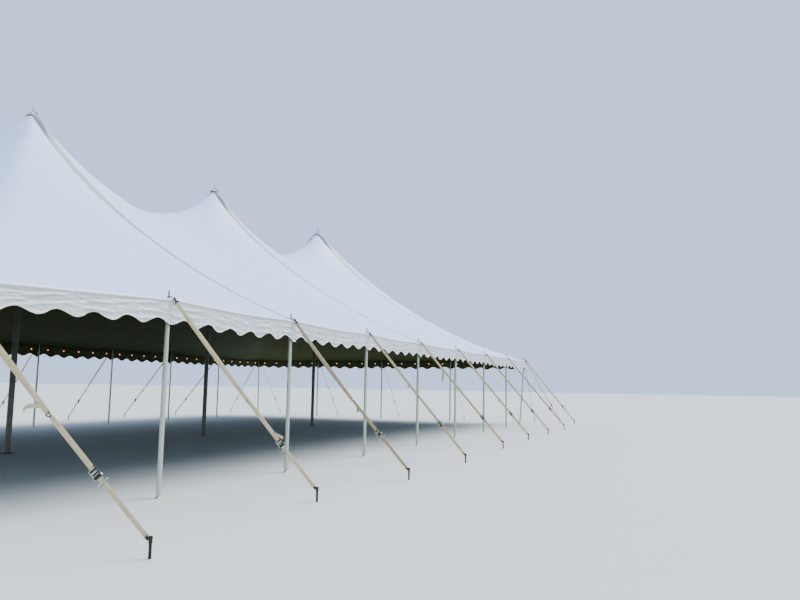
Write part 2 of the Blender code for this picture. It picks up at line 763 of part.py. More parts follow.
def add_poles_and_guys(cloth, spots, pole_finish, guy_finish, tent):
    for label, x, y, corner in spots:
        at = (x, y, 0.0)
        lean, roof_height = (0.0, 0.0), EAVE_HEIGHT
        if corner:
            lean = (-math.copysign(CORNER_LEAN, x), -math.copysign(CORNER_LEAN, y))
            plate_z = corner_plate_height(cloth, x, y)
            roof_height = plate_z - PLATE_THICKNESS / 2
            name = f"corner_guys_{label}"
            plate = corner_plate(plate_z, x, y)
            guys = guy_mesh(name, plate, plate_z, corner_guys(x, y))
            place(name, guys, guy_finish, tent, at)
        else:
            name = f"guy_{label}"
            turn, reach = side_guy(label, y)
            plate_z = side_plate_height(cloth, x, y, turn)
            guys = guy_mesh(name, side_plate(plate_z, turn), plate_z, [(turn, reach)])
            place(name, guys, guy_finish, tent, at)
        name = f"side_pole_{label}"
        pole = side_pole_mesh(cloth, x, y, roof_height, lean, name)
        place(name, pole, pole_finish, tent, at)


def main():
    clear_scene()
    vinyl = material("white_vinyl", (0.80, 0.82, 0.83), 0.45)
    side_metal = material("side_pole_aluminium", (0.72, 0.74, 0.72), 0.38, 0.6)
    mast_metal = material("centre_pole_aluminium", (0.42, 0.44, 0.43), 0.45, 0.7)
    webbing = material("cream_webbing", (0.69, 0.58, 0.44), 0.85)
    cable = material("lamp_cable", (0.05, 0.05, 0.045), 0.6)
    tent = bpy.data.objects.new("marquee", None)
    bpy.context.scene.collection.objects.link(tent)

    spots = side_pole_spots()
    cloth = add_roof(Roof(), spots, vinyl, tent)
    for k, x in enumerate(PEAKS, 1):
        name = f"centre_pole_{k}"
        place(name, centre_pole_mesh(cloth, x, name), mast_metal, tent, (x, 0.0, 0.0))
    add_poles_and_guys(cloth, spots, side_metal, webbing, tent)
    place("lamp_string", lamp_string_mesh(), cable, tent)


main()
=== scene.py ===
"""White pole marquee with three peaks: laced roof sections, valance, poles, guys and lamps.

The frame has +Z up and its origin on the ground at the middle of the footprint. X runs along the
tent and Y across it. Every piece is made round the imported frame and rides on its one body.
"""

import math
from functools import partial

import bpy
import numpy as np
from mathutils import Matrix, Vector


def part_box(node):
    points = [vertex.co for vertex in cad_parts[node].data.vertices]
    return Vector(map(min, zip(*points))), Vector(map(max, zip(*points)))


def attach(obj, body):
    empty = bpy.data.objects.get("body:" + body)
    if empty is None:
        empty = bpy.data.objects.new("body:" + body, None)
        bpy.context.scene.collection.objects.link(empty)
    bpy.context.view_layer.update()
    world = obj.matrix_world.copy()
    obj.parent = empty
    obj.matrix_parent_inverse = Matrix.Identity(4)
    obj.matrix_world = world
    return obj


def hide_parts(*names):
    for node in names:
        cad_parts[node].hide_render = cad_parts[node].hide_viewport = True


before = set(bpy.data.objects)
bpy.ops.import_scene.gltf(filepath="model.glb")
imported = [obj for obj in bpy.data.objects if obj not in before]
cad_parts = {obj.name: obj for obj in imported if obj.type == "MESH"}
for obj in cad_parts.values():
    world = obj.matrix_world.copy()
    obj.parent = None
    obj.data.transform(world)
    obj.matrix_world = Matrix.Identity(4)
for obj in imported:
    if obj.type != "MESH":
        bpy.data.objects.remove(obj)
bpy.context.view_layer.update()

bl_info = {
    "name": "Pole marquee with three peaks",
    "version": (1, 0, 0),
    "blender": (4, 5, 0),
    "location": "3D View > Sidebar > Marquee",
    "description": "Builds a white pole marquee round its packed frame",
    "category": "Add Mesh",
}

BODY = "root"
SECTION_BAYS = 2  # bays along the eave of one roof section
SECTIONS = 4
BAYS_WIDE = 4
LEFT, RIGHT = "left", "right"


def from_hex(colour):
    """Linear red, green and blue of an sRGB hex colour."""
    shares = [int(colour[k : k + 2], 16) / 255 for k in (1, 3, 5)]
    return tuple(s / 12.92 if s <= 0.04045 else ((s + 0.055) / 1.055) ** 2.4 for s in shares)


def length(name, description, default):
    """A setting in metres."""
    return bpy.props.FloatProperty(
        name=name, description=description, default=default, min=0.0, unit="LENGTH"
    )


def colour(name, description, default):
    """A setting that holds a colour, from its hex value."""
    return bpy.props.FloatVectorProperty(
        name=name,
        description=description,
        default=from_hex(default),
        size=3,
        min=0.0,
        max=1.0,
        subtype="COLOR",
    )


# What a user would change


class MarqueeRoofSettings(bpy.types.PropertyGroup):
    bay: length("Bay", "Distance between two side poles", 3.048)
    eave_height: length("Eave height", "Roof cloth at the side poles", 2.458)
    peak_height: length("Peak height", "Roof cloth at the centre poles", 6.775)
    eave_sag: length("Eave sag", "Dip of the eave between two side poles", 0.02)
    slack_drop: length("Slack corner drop", "How much lower the near left corner stands", 0.15)
    overhang: length("Overhang", "Roof cloth past the line of the side poles", 0.05)
    cloth_thickness: length("Cloth thickness", "Thickness of the coated cloth", 0.003)
    flap_width: length("Rain flap width", "Width of the flap over a laced seam at the eave", 0.10)
    # The roof cloth's blue tint is painted sky light; the cloth itself is white.
    cloth_colour: colour("Cloth", "Outside of the coated cloth", "#D3E1FF")
    # The lining colour is painted shade: the white cloth's underside, coloured as dark as it looks in
    # the deep shade under the roof.
    underside_shade_colour: colour("Lining", "Underside of the roof in deep shade", "#3B4020")
    flap_colour: colour("Rain flap", "Flap over a laced seam", "#A8ACAB")


class MarqueeValanceSettings(bpy.types.PropertyGroup):
    drop: length("Drop", "Depth of the valance at a scallop's lobe", 0.33)
    scallop_depth: length("Scallop depth", "From a lobe's bottom to the notch beside it", 0.08)
    scallops: bpy.props.IntProperty(
        name="Scallops", description="Scallops in one bay", default=6, min=1
    )
    slack_gather: bpy.props.FloatProperty(
        name="Slack gather", description="Share of its depth lost at the slack corner", default=0.17
    )
    cord_radius: length("Edge roll", "How far the roll along the eave stands out", 0.016)
    binding_width: length("Binding", "Width of the tape round the scallops", 0.018)
    # The valance's cloth colour is painted shade: the roof's white cloth, coloured greyer because its
    # upright face gets less light.
    cloth_colour: colour("Cloth", "Outside of the valance, greyer than the roof", "#C3C8C7")
    # The roll colour is painted light: the same cloth, coloured brighter because the roll's rounded top
    # catches the light from above.
    lit_roll_colour: colour("Roll", "Clean cloth of the roll along the eave", "#F1F3F2")
    binding_colour: colour("Binding", "Tape that binds the scallops", "#F6F2E6")
    # The inside colour is painted shade: the valance's inner face, coloured as dark as it looks in the
    # shade under the roof.
    inside_shade_colour: colour("Inside", "Inner face of the valance", "#45492F")


class MarqueePoleSettings(bpy.types.PropertyGroup):
    tube_radius: length("Side pole radius", "Upper tube of a side pole", 0.0275)
    joint_height: length("Joint height", "Where a side pole's two tubes meet", 1.62)
    mast_radius: length("Centre pole radius", "Tube of a centre pole", 0.055)
    corner_lean: length("Corner lean", "Foot of a corner pole inboard of its top", 0.14)
    # The side pole's grey-green tint is painted soft shade with painted green light thrown up from
    # grass; the tube is near white.
    shaded_tube_colour: colour("Side pole", "Anodised tube", "#BFC5AE")
    # The centre pole's colour is painted shade: the mast is coloured as dark as it looks under the
    # roof.
    shaded_mast_colour: colour("Centre pole", "Dull tube under the roof", "#4A473E")
    crown_colour: colour("Crown", "Cap over each peak", "#E6E2DA")


class MarqueeGuySettings(bpy.types.PropertyGroup):
    end_reach: length("End reach", "Stake of an end guy, out from its pole", 2.03)
    strap_width: length("Strap width", "Width of the webbing", 0.048)
    stake_height: length("Stake height", "Stake above the ground", 0.18)
    webbing_colour: colour("Webbing", "Woven polyester strap", "#DAC899")
    weathered_colour: colour("Weathered webbing", "Straps that are the oldest", "#BFAF86")
    zinc_colour: colour("Zinc", "Ratchet plates", "#CDC9BA")
    stake_colour: colour("Stake", "Forged stake", "#33291F")


class MarqueeLampSettings(bpy.types.PropertyGroup):
    lamps_per_bay: bpy.props.IntProperty(
        name="Lamps", description="Lamps in one bay", default=5, min=1
    )
    cable_radius: length("Cable radius", "Radius of the lamp cable", 0.005)
    cable_sag: length("Cable sag", "Dip of the cable at a lamp", 0.02)
    glow: bpy.props.FloatProperty(
        name="Glow", description="Light given by a bulb", default=2.2, min=0.0
    )
    glass_colour: colour("Glass", "Frosted bulb", "#FFE9C4")


class MarqueeStageSettings(bpy.types.PropertyGroup):
    floor_size: length("Floor size", "Side of the plain floor", 400.0)
    floor_colour: colour("Floor", "Plain pale floor", "#C9CCC6")
    sky_colour: colour("Surroundings", "Soft light from all round", "#C2DAFF")
    sky_strength: bpy.props.FloatProperty(
        name="Surrounding light", description="Strength of the light from all round", default=1.5
    )
    sun_strength: bpy.props.FloatProperty(
        name="Overhead light", description="Strength of the overhead light", default=5.6
    )


# Form of the roof

FIRST_CELL = 0.06  # width of the net's cell beside a peak
GRADED_CELLS = 20  # cells of the bay beside a peak, growing outwards
PLAIN_CELLS = 12  # cells of the bay beside a corner
PEAK_PULL = 0.461  # extra pull near a peak, times one metre over the distance to it
PEAK_PULL_REACH = 0.06  # closer than this to a peak the pull no longer grows
RIDGE_PULL = 4.071  # webbing from peak to peak
HIP_PULL = 10.342  # webbing from an end peak to its corners
CLOTH_WEIGHT = 0.097  # weight of the cloth against its pull, per metre
BALANCED = 1e-13  # the net has settled when its squared pull falls under this
LEAST_GROWTH, MOST_GROWTH = 1.0001, 1.5  # of one cell against the one before it
HALVINGS = 60  # in which the right growth is found between them


def graded_lines(first, cells, total):
    """Distances that start with a given cell and grow by one factor to a given total."""
    low, high = LEAST_GROWTH, MOST_GROWTH
    for _ in range(HALVINGS):
        factor = (low + high) / 2
        if first * (factor**cells - 1) / (factor - 1) < total:
            low = factor
        else:
            high = factor
    lines = np.concatenate([[0.0], np.cumsum(first * low ** np.arange(cells))])
    return lines * total / lines[-1]


def widths_round(lines):
    """Width of the strip that belongs to each line."""
    gaps = np.diff(lines)
    return np.concatenate([[gaps[0] / 2], (gaps[1:] + gaps[:-1]) / 2, [gaps[-1] / 2]])


class RoofForm:
    """The tensioned roof as a net of lines, with the height where each pair of them crosses."""

    def __init__(self, sizes):
        self.sizes = sizes
        bay = sizes.bay
        self.half_length = SECTIONS * SECTION_BAYS * bay / 2
        self.half_width = BAYS_WIDE * bay / 2
        self.section = SECTION_BAYS * bay
        self.peaks = [self.section * (k - SECTIONS / 2) for k in range(1, SECTIONS)]
        near_peak = graded_lines(FIRST_CELL, GRADED_CELLS, bay)
        half = np.concatenate([near_peak, bay + bay * np.arange(1, PLAIN_CELLS + 1) / PLAIN_CELLS])
        between = np.concatenate([near_peak, (self.section - near_peak[::-1])[1:]])
        self.end_cells = GRADED_CELLS + PLAIN_CELLS
        self.between_cells = 2 * GRADED_CELLS
        x_lines = [self.peaks[0] - half[::-1]]
        x_lines += [peak + between[1:] for peak in self.peaks[:-1]]
        x_lines.append(self.peaks[-1] + half[1:])
        self.x = np.concatenate(x_lines)
        self.y = np.concatenate([-half[::-1], half[1:]])
        self.z = self.settle()
        self.carry_past_edge()

    def eave(self, along, left_drop):
        """Heights along one eave, whose first end is lowered, for places from its middle."""
        half = along[-1]
        poles = np.linspace(-half, half, round(2 * half / self.sizes.bay) + 1)
        heights = np.full(len(poles), self.sizes.eave_height)
        heights[0] -= left_drop
        dip = self.sizes.eave_sag * np.sin(np.pi * (along - poles[0]) / self.sizes.bay) ** 2
        if left_drop > 0:
            dip = np.where(along < poles[1], 0.0, dip)  # the guys draw the slack bay's edge taut
        return np.interp(along, poles, heights) - dip

    def pull_of_cloth(self, x, y):
        """Pull in the cloth at places in plan: 1 far from the peaks and more beside them."""
        pull = np.ones(np.broadcast(x, y).shape)
        for peak in self.peaks:
            pull = pull + PEAK_PULL / np.maximum(np.hypot(x - peak, y), PEAK_PULL_REACH)
        return pull

    def hips(self):
        """Knots of the webbing from the end peaks to the corners, with its pull."""
        steps = np.arange(self.end_cells + 1)
        last_x, last_y = len(self.x) - 1, len(self.y) - 1
        for i in (steps, last_x - steps):
            for j in (steps, last_y - steps):
                gaps = np.hypot(np.diff(self.x[i]), np.diff(self.y[j]))
                yield i, j, HIP_PULL / gaps

    def settle(self):
        """Heights at which the net's pulls carry its weight, by conjugate gradients."""
        sizes = self.sizes
        middle = len(self.y) // 2
        x_widths, y_widths = widths_round(self.x), widths_round(self.y)
        x_gaps, y_gaps = np.diff(self.x), np.diff(self.y)
        x_mid, y_mid = (self.x[1:] + self.x[:-1]) / 2, (self.y[1:] + self.y[:-1]) / 2
        along = self.pull_of_cloth(x_mid[:, None], self.y) * y_widths / x_gaps[:, None]
        across = self.pull_of_cloth(self.x[:, None], y_mid) * x_widths[:, None] / y_gaps
        ridge = slice(self.end_cells, len(self.x) - 1 - self.end_cells)
        along[ridge, middle] += RIDGE_PULL / x_gaps[ridge]
        hips = list(self.hips())

        def pulled(z):
            force = np.zeros_like(z)
            step = along * (z[1:] - z[:-1])
            force[:-1] += step
            force[1:] -= step
            step = across * (z[:, 1:] - z[:, :-1])
            force[:, :-1] += step
            force[:, 1:] -= step
            for i, j, pull in hips:
                step = pull * (z[i[1:], j[1:]] - z[i[:-1], j[:-1]])
                force[i[:-1], j[:-1]] += step
                force[i[1:], j[1:]] -= step
            return np.where(held, 0.0, force)

        z = np.full((len(self.x), len(self.y)), sizes.eave_height)
        held = np.zeros(z.shape, bool)
        z[:, 0] = self.eave(self.x, sizes.slack_drop)
        z[:, -1] = self.eave(self.x, 0.0)
        z[0, :] = self.eave(self.y, sizes.slack_drop)
        z[-1, :] = self.eave(self.y, 0.0)
        held[[0, -1], :] = True
        held[:, [0, -1]] = True
        for number in range(len(self.peaks)):
            i = self.end_cells + number * self.between_cells
            z[i, middle] = sizes.peak_height
            held[i, middle] = True

        own = np.zeros_like(z)
        own[:-1] += along
        own[1:] += along
        own[:, :-1] += across
        own[:, 1:] += across
        left = pulled(z) - np.where(held, 0.0, CLOTH_WEIGHT * x_widths[:, None] * y_widths)
        way = left / own
        worth = float((left * way).sum())
        while worth > BALANCED:
            answer = -pulled(way)
            share = worth / float((way * answer).sum())
            z += share * way
            left -= share * answer
            eased = left / own
            worth, before = float((left * eased).sum()), worth
            way = eased + way * (worth / before)
        return z

    def carry_past_edge(self):
        """Moves on past the side poles by one line all round, at the slope of the last cells."""
        out = self.sizes.overhang

        def grown(z, lines):
            gap = lines[1] - lines[0]
            first = z[0] - (z[1] - z[0]) * out / gap
            last = z[-1] - (z[-2] - z[-1]) * out / gap
            return np.concatenate([first[None], z, last[None]])

        self.z = grown(grown(self.z, self.x).T, self.y).T
        self.x = np.concatenate([[self.x[0] - out], self.x, [self.x[-1] + out]])
        self.y = np.concatenate([[self.y[0] - out], self.y, [self.y[-1] + out]])

    def height(self, x, y):
        """Height of the roof's cloth over places in plan, straight between its lines."""
        x, y = np.broadcast_arrays(np.asarray(x, float), np.asarray(y, float))
        i = np.clip(np.searchsorted(self.x, x) - 1, 0, len(self.x) - 2)
        j = np.clip(np.searchsorted(self.y, y) - 1, 0, len(self.y) - 2)
        u = np.clip((x - self.x[i]) / (self.x[i + 1] - self.x[i]), 0, 1)
        v = np.clip((y - self.y[j]) / (self.y[j + 1] - self.y[j]), 0, 1)
        near = self.z[i, j] * (1 - u) + self.z[i + 1, j] * u
        far = self.z[i, j + 1] * (1 - u) + self.z[i + 1, j + 1] * u
        return near * (1 - v) + far * v

    def seam_lines(self):
        """Number of the net line at each seam, the two ends of the tent among them."""
        inner = [1 + self.end_cells + k * self.between_cells for k in range(len(self.peaks))]
        return [0, *inner, len(self.x) - 1]


# Materials


def feed(node, inputs):
    """Sets each input of a node, or links it where the value given is another node's output."""
    for name, given in inputs.items():
        socket = node.inputs[name]
        if isinstance(given, bpy.types.NodeSocket):
            node.id_data.links.new(given, socket)
        else:
            socket.default_value = given


def add_node(tree, kind, inputs, output=0, **settings):
    """Adds a shader node with its settings and inputs, and gives one of its outputs."""
    node = tree.nodes.new(f"ShaderNode{kind}")
    for name, value in settings.items():
        setattr(node, name, value)
    feed(node, inputs)
    return node.outputs[output]


def new_finish(name, **inputs):
    """A material with fixed inputs on its shader, a way to add nodes to it, and the shader."""
    made = bpy.data.materials.new(name)
    made.use_nodes = True
    tree = made.node_tree
    shader = tree.nodes["Principled BSDF"]
    feed(shader, {socket.replace("_", " "): value for socket, value in inputs.items()})
    return made, partial(add_node, tree), shader


def shade(tone, factor=1.0):
    """A colour for a socket, lighter or darker by a factor."""
    return (*(part * factor for part in tone), 1.0)


COLOURS = {"output": 2, "data_type": "RGBA"}  # a Mix of inputs 6 and 7, by the share at input 0
PANEL_WIDTH = 1.524  # between two welds of the roof cloth
WELD_HALF_WIDTH, WELD_CORE = 0.014, 0.7  # and the share of it that is at its full strength


def welds(add, place, strength):
    """The welds between the cloth's panels, as strips spaced along X."""
    x = add("SeparateXYZ", {"Vector": place}, "X")
    away = add("Math", {0: x, 1: PANEL_WIDTH / 2}, operation="PINGPONG")
    core = WELD_HALF_WIDTH * WELD_CORE
    ends = {"From Min": WELD_HALF_WIDTH, "From Max": core, "To Max": strength}
    return add("MapRange", {"Value": away, **ends})


def coated_cloth(name, tone, stretch, crease_scale, crease_depth):
    """Calendered PVC-coated polyester: smooth, softly glossy, with welded panel seams.

    The panels are half a bay wide, and each weld is a double strip that stands a little proud.
    Years of folding leave faint broad shadows of dirt and fine creases, which the stretch draws
    out along the way the cloth is pulled.
    """
    made, add, shader = new_finish(name, IOR=1.5)
    place = add("TexCoord", {}, "Object")
    tall = add("Mapping", {"Vector": place, "Scale": (1.0, 1.0, stretch)})
    weld = welds(add, place, 1.0)
    cloud = add("TexNoise", {"Vector": place, "Scale": 0.55, "Detail": 4.0})
    cloud = add("MapRange", {"Value": cloud, "From Min": 0.38, "From Max": 0.66})
    dirt = add("TexNoise", {"Vector": tall, "Scale": 2.6, "Detail": 5.0, "Roughness": 0.62})
    dirt = add("MapRange", {"Value": dirt, "From Min": 0.5, "From Max": 0.74, "To Max": 0.35})
    weld_soil = add("Math", {0: weld, 1: 0.5}, operation="MULTIPLY")
    base = add("Mix", {0: cloud, 6: shade(tone), 7: shade(tone, 0.95)}, **COLOURS)
    base = add("Mix", {0: dirt, 6: base, 7: shade(tone, 0.87)}, **COLOURS)
    base = add("Mix", {0: weld_soil, 6: base, 7: shade(tone, 0.9)}, **COLOURS)
    rough = add("MapRange", {"Value": cloud, "To Min": 0.38, "To Max": 0.47})
    creases = add("TexNoise", {"Vector": tall, "Scale": crease_scale, "Detail": 2.0, "Roughness": 0.45})
    relief = add("Math", {0: weld, 1: 0.16, 2: creases}, operation="MULTIPLY_ADD")
    bump = add("Bump", {"Strength": 0.5, "Distance": crease_depth, "Height": relief})
    feed(shader, {"Base Color": base, "Roughness": rough, "Normal": bump})
    return made


def hemmed_flap(name, tone):
    """The same cloth as a double-hemmed flap, darker and greyer than the roof's: stitched hems along
    both edges, coloured darker.

    The hems and a dark line near one edge follow the flap's own width, which its UV map gives.
    """
    made, add, shader = new_finish(name, IOR=1.5, Roughness=0.48)
    side = add("SeparateXYZ", {"Vector": add("TexCoord", {}, "UV")}, "Y")
    across = add("Math", {0: side}, operation="ABSOLUTE")
    hem = add("MapRange", {"Value": across, "From Min": 0.6, "From Max": 0.7})
    dark_edge_line = add("MapRange", {"Value": side, "From Min": 0.72, "From Max": 0.8})
    place = add("TexCoord", {}, "Object")
    soil = add("TexNoise", {"Vector": place, "Scale": 3.0, "Detail": 5.0})
    soil = add("MapRange", {"Value": soil, "From Min": 0.4, "From Max": 0.7, "To Max": 0.5})
    base = add("Mix", {0: soil, 6: shade(tone), 7: shade(tone, 0.86)}, **COLOURS)
    base = add("Mix", {0: hem, 6: base, 7: shade(tone, 0.74)}, **COLOURS)
    base = add("Mix", {0: dark_edge_line, 6: base, 7: shade(from_hex("#77765F"))}, **COLOURS)
    relief = add("Math", {0: hem, 1: 0.6, 2: soil}, operation="MULTIPLY_ADD")
    bump = add("Bump", {"Strength": 0.6, "Distance": 0.003, "Height": relief})
    feed(shader, {"Base Color": base, "Normal": bump})
    return made


def painted_shade_underside(name, tone):
    """The cloth's underside, painted dark as the deep shade under the roof: matt, mottled where damp
    and folds have marked it.
    """
    made, add, shader = new_finish(name, Roughness=0.8, IOR=1.5, Specular_IOR_Level=0.12)
    place = add("TexCoord", {}, "Object")
    marks = add("TexNoise", {"Vector": place, "Scale": 1.3, "Detail": 5.0, "Roughness": 0.6})
    marks = add("MapRange", {"Value": marks, "From Min": 0.35, "From Max": 0.7})
    weld = welds(add, place, 0.6)
    base = add("Mix", {0: marks, 6: shade(tone), 7: shade(tone, 0.72)}, **COLOURS)
    base = add("Mix", {0: weld, 6: base, 7: shade(tone, 0.55)}, **COLOURS)
    relief = add("Math", {0: marks, 1: weld}, operation="ADD")
    bump = add("Bump", {"Strength": 0.4, "Distance": 0.004, "Height": relief})
    feed(shader, {"Base Color": base, "Normal": bump})
    return made


THREAD = 0.005  # drawn about twice as coarse as a real warp thread, or it wouldn't show


def woven_tape(name, tone):
    """Polyester webbing: rounded warp threads crossed by the weft, dull, soiled in patches.

    Some lengths of it are more weathered than others, and those are browner.
    """
    made, add, shader = new_finish(name, Roughness=0.86, IOR=1.46, Sheen_Weight=0.2)
    at = add("TexCoord", {}, "UV")
    turns = (math.pi / THREAD, 2 * math.pi / THREAD, 1.0)
    threads = add("Mapping", {"Vector": at, "Scale": turns})
    along = add("SeparateXYZ", {"Vector": threads}, "X")
    across = add("SeparateXYZ", {"Vector": threads}, "Y")
    weft = add("Math", {0: along}, operation="SINE")
    warp = add("Math", {0: across}, operation="SINE")
    weave = add("Math", {0: warp, 1: weft}, operation="MULTIPLY")
    place = add("TexCoord", {}, "Object")
    soil = add("TexNoise", {"Vector": place, "Scale": 6.0, "Detail": 5.0, "Roughness": 0.6})
    soil = add("MapRange", {"Value": soil, "From Min": 0.42, "From Max": 0.72, "To Max": 0.45})
    lit = add("MapRange", {"Value": weave, "From Min": -1.0})
    base = add("Mix", {0: lit, 6: shade(tone, 0.86), 7: shade(tone)}, **COLOURS)
    age = add("TexNoise", {"Vector": place, "Scale": 0.4, "Detail": 1.0})
    age = add("MapRange", {"Value": age, "From Min": 0.4, "From Max": 0.6})
    aged = tuple(part * share for part, share in zip(tone, (0.86, 0.78, 0.70)))
    weathered = add("Mix", {0: age, 6: base, 7: shade(aged)}, **COLOURS)
    base = add("Mix", {0: soil, 6: weathered, 7: shade(aged, 0.84)}, **COLOURS)
    bump = add("Bump", {"Strength": 0.6, "Distance": 0.001, "Height": weave})
    feed(shader, {"Base Color": base, "Normal": bump})
    return made


def drawn_tube(name, tone, roughness, stretch, metallic, lit_foot_factor=1.0):
    """Drawn aluminium tube, anodised: fine streaks along its length and dull handling marks.

    Over the last two metres above its foot the tone changes by the lit foot factor: painted light
    thrown up from below.
    """
    made, add, shader = new_finish(name, Metallic=metallic)
    place = add("TexCoord", {}, "Object")
    drawn = add("Mapping", {"Vector": place, "Scale": (1.0, 1.0, stretch)})
    streaks = add("TexNoise", {"Vector": drawn, "Scale": 90.0, "Detail": 2.0})
    marks = add("TexNoise", {"Vector": place, "Scale": 5.0, "Detail": 5.0, "Roughness": 0.65})
    marks = add("MapRange", {"Value": marks, "From Min": 0.45, "From Max": 0.72})
    dull = add("Math", {0: marks, 1: 0.4}, operation="MULTIPLY")
    base = add("Mix", {0: streaks, 6: shade(tone, 0.92), 7: shade(tone)}, **COLOURS)
    base = add("Mix", {0: dull, 6: base, 7: shade(tone, 0.7)}, **COLOURS)
    z = add("SeparateXYZ", {"Vector": place}, "Z")
    # painted light: the tone changes toward the foot by the lit foot factor
    foot = add("MapRange", {"Value": z, "From Min": 2.0, "From Max": 0.6})
    base = add("Mix", {0: foot, 6: base, 7: shade(tone, lit_foot_factor)}, **COLOURS)
    rough = add("MapRange", {"Value": marks, "To Min": roughness - 0.04, "To Max": roughness + 0.16})
    bump = add("Bump", {"Strength": 0.5, "Distance": 0.0004, "Height": streaks})
    feed(shader, {"Base Color": base, "Roughness": rough, "Normal": bump})
    return made


def plated_steel(name, tone):
    """Pressed steel, zinc-plated: bright with cloudy spangle, browned where the zinc has worn."""
    made, add, shader = new_finish(name, Metallic=0.85)
    place = add("TexCoord", {}, "Object")
    spangle = add("TexVoronoi", {"Vector": place, "Scale": 140.0}, "Distance")
    worn = add("TexNoise", {"Vector": place, "Scale": 30.0, "Detail": 5.0, "Roughness": 0.6})
    worn = add("MapRange", {"Value": worn, "From Min": 0.56, "From Max": 0.7, "To Max": 0.6})
    base = add("Mix", {0: spangle, 6: shade(tone), 7: shade(tone, 0.82)}, **COLOURS)
    base = add("Mix", {0: worn, 6: base, 7: shade(from_hex("#6B5844"))}, **COLOURS)
    rough = add("MapRange", {"Value": worn, "To Min": 0.34, "To Max": 0.8})
    bump = add("Bump", {"Strength": 0.5, "Distance": 0.0004, "Height": spangle})
    feed(shader, {"Base Color": base, "Roughness": rough, "Normal": bump})
    return made


def forged_steel(name, tone):
    """Forged steel, weathered: near black scale with brown rust and a rough, pitted skin."""
    made, add, shader = new_finish(name, Metallic=0.6)
    place = add("TexCoord", {}, "Object")
    rust = add("TexNoise", {"Vector": place, "Scale": 38.0, "Detail": 6.0, "Roughness": 0.65})
    rust = add("MapRange", {"Value": rust, "From Min": 0.46, "From Max": 0.64})
    pits = add("TexNoise", {"Vector": place, "Scale": 190.0, "Detail": 3.0})
    rusty = add("Math", {0: rust, 1: 0.6}, operation="MULTIPLY")
    base = add("Mix", {0: rusty, 6: shade(tone), 7: shade(from_hex("#5C4030"))}, **COLOURS)
    rough = add("MapRange", {"Value": rust, "To Min": 0.5, "To Max": 0.85})
    relief = add("Math", {0: rust, 1: pits}, operation="ADD")
    bump = add("Bump", {"Strength": 0.8, "Distance": 0.0012, "Height": relief})
    feed(shader, {"Base Color": base, "Roughness": rough, "Normal": bump})
    return made


def moulded_cap(name, tone):
    """Moulded polyethylene, weathered: a chalky bloom over a faint orange-peel skin."""
    made, add, shader = new_finish(name, IOR=1.5)
    place = add("TexCoord", {}, "Object")
    bloom = add("TexNoise", {"Vector": place, "Scale": 14.0, "Detail": 5.0, "Roughness": 0.6})
    bloom = add("MapRange", {"Value": bloom, "From Min": 0.4, "From Max": 0.7})
    base = add("Mix", {0: bloom, 6: shade(tone), 7: shade(tone, 0.84)}, **COLOURS)
    rough = add("MapRange", {"Value": bloom, "To Min": 0.45, "To Max": 0.7})
    skin = add("TexNoise", {"Vector": place, "Scale": 260.0, "Detail": 2.0})
    bump = add("Bump", {"Strength": 0.6, "Distance": 0.0005, "Height": skin})
    feed(shader, {"Base Color": base, "Roughness": rough, "Normal": bump})
    return made


def rubber_cable(name):
    """Rubber sheath: dull black with a dusty bloom."""
    made, add, shader = new_finish(name, Roughness=0.68, IOR=1.52)
    place = add("TexCoord", {}, "Object")
    dust = add("TexNoise", {"Vector": place, "Scale": 25.0, "Detail": 5.0})
    dust = add("MapRange", {"Value": dust, "From Min": 0.45, "From Max": 0.75})
    black, dusty = shade(from_hex("#1F1F1D")), shade(from_hex("#3C3B36"))
    base = add("Mix", {0: dust, 6: black, 7: dusty}, **COLOURS)
    skin = add("TexNoise", {"Vector": place, "Scale": 400.0, "Detail": 2.0})
    bump = add("Bump", {"Strength": 0.5, "Distance": 0.0003, "Height": skin})
    feed(shader, {"Base Color": base, "Normal": bump})
    return made


def frosted_bulb(name, tone, glow):
    """Frosted glass over a warm filament: softly mottled, lit from inside."""
    warm = shade(from_hex("#FFC47A"))
    made, add, shader = new_finish(
        name, Roughness=0.3, IOR=1.5, Emission_Color=warm, Emission_Strength=glow
    )
    place = add("TexCoord", {}, "Object")
    frost = add("TexNoise", {"Vector": place, "Scale": 120.0, "Detail": 2.0})
    base = add("Mix", {0: frost, 6: shade(tone), 7: shade(tone, 0.9)}, **COLOURS)
    feed(shader, {"Base Color": base})
    return made


def plain_floor(name, tone):
    """A plain matt floor with the faintest unevenness."""
    made, add, shader = new_finish(name, Roughness=0.9)
    place = add("TexCoord", {}, "Object")
    cloud = add("TexNoise", {"Vector": place, "Scale": 0.15, "Detail": 3.0})
    base = add("Mix", {0: cloud, 6: shade(tone), 7: shade(tone, 0.97)}, **COLOURS)
    feed(shader, {"Base Color": base})
    return made


# Making pieces

SMOOTH_ANGLE = math.radians(35)  # edges sharper than this stay crisp


def nothing_selected():
    """Leaves any edit mode and clears the selection, as the next operator needs."""
    if bpy.context.mode != "OBJECT":
        bpy.ops.object.mode_set(mode="OBJECT")
    bpy.ops.object.select_all(action="DESELECT")


def named(piece, name):
    """Names a piece and its mesh alike."""
    piece.name = piece.data.name = name
    return piece


def make_active(piece):
    """Selects one piece alone, for an operator that works on the active one."""
    nothing_selected()
    piece.select_set(True)
    bpy.context.view_layer.objects.active = piece
    return piece


def coat(piece, *finishes):
    """Adds finishes to a piece, in the order in which its faces number them."""
    for finish in finishes:
        piece.data.materials.append(finish)
    return piece


def hang(piece, slot, *replaced):
    """Hangs a piece on the tent's one body and hides the nodes it stands for; its slot is not used."""
    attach(piece, BODY)
    if replaced:
        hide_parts(*replaced)
    return piece


def laid(piece, at, turn=Matrix.Identity(4)):
    """Turns a piece's mesh and moves it to its place."""
    piece.data.transform(Matrix.Translation(at) @ turn)
    return piece


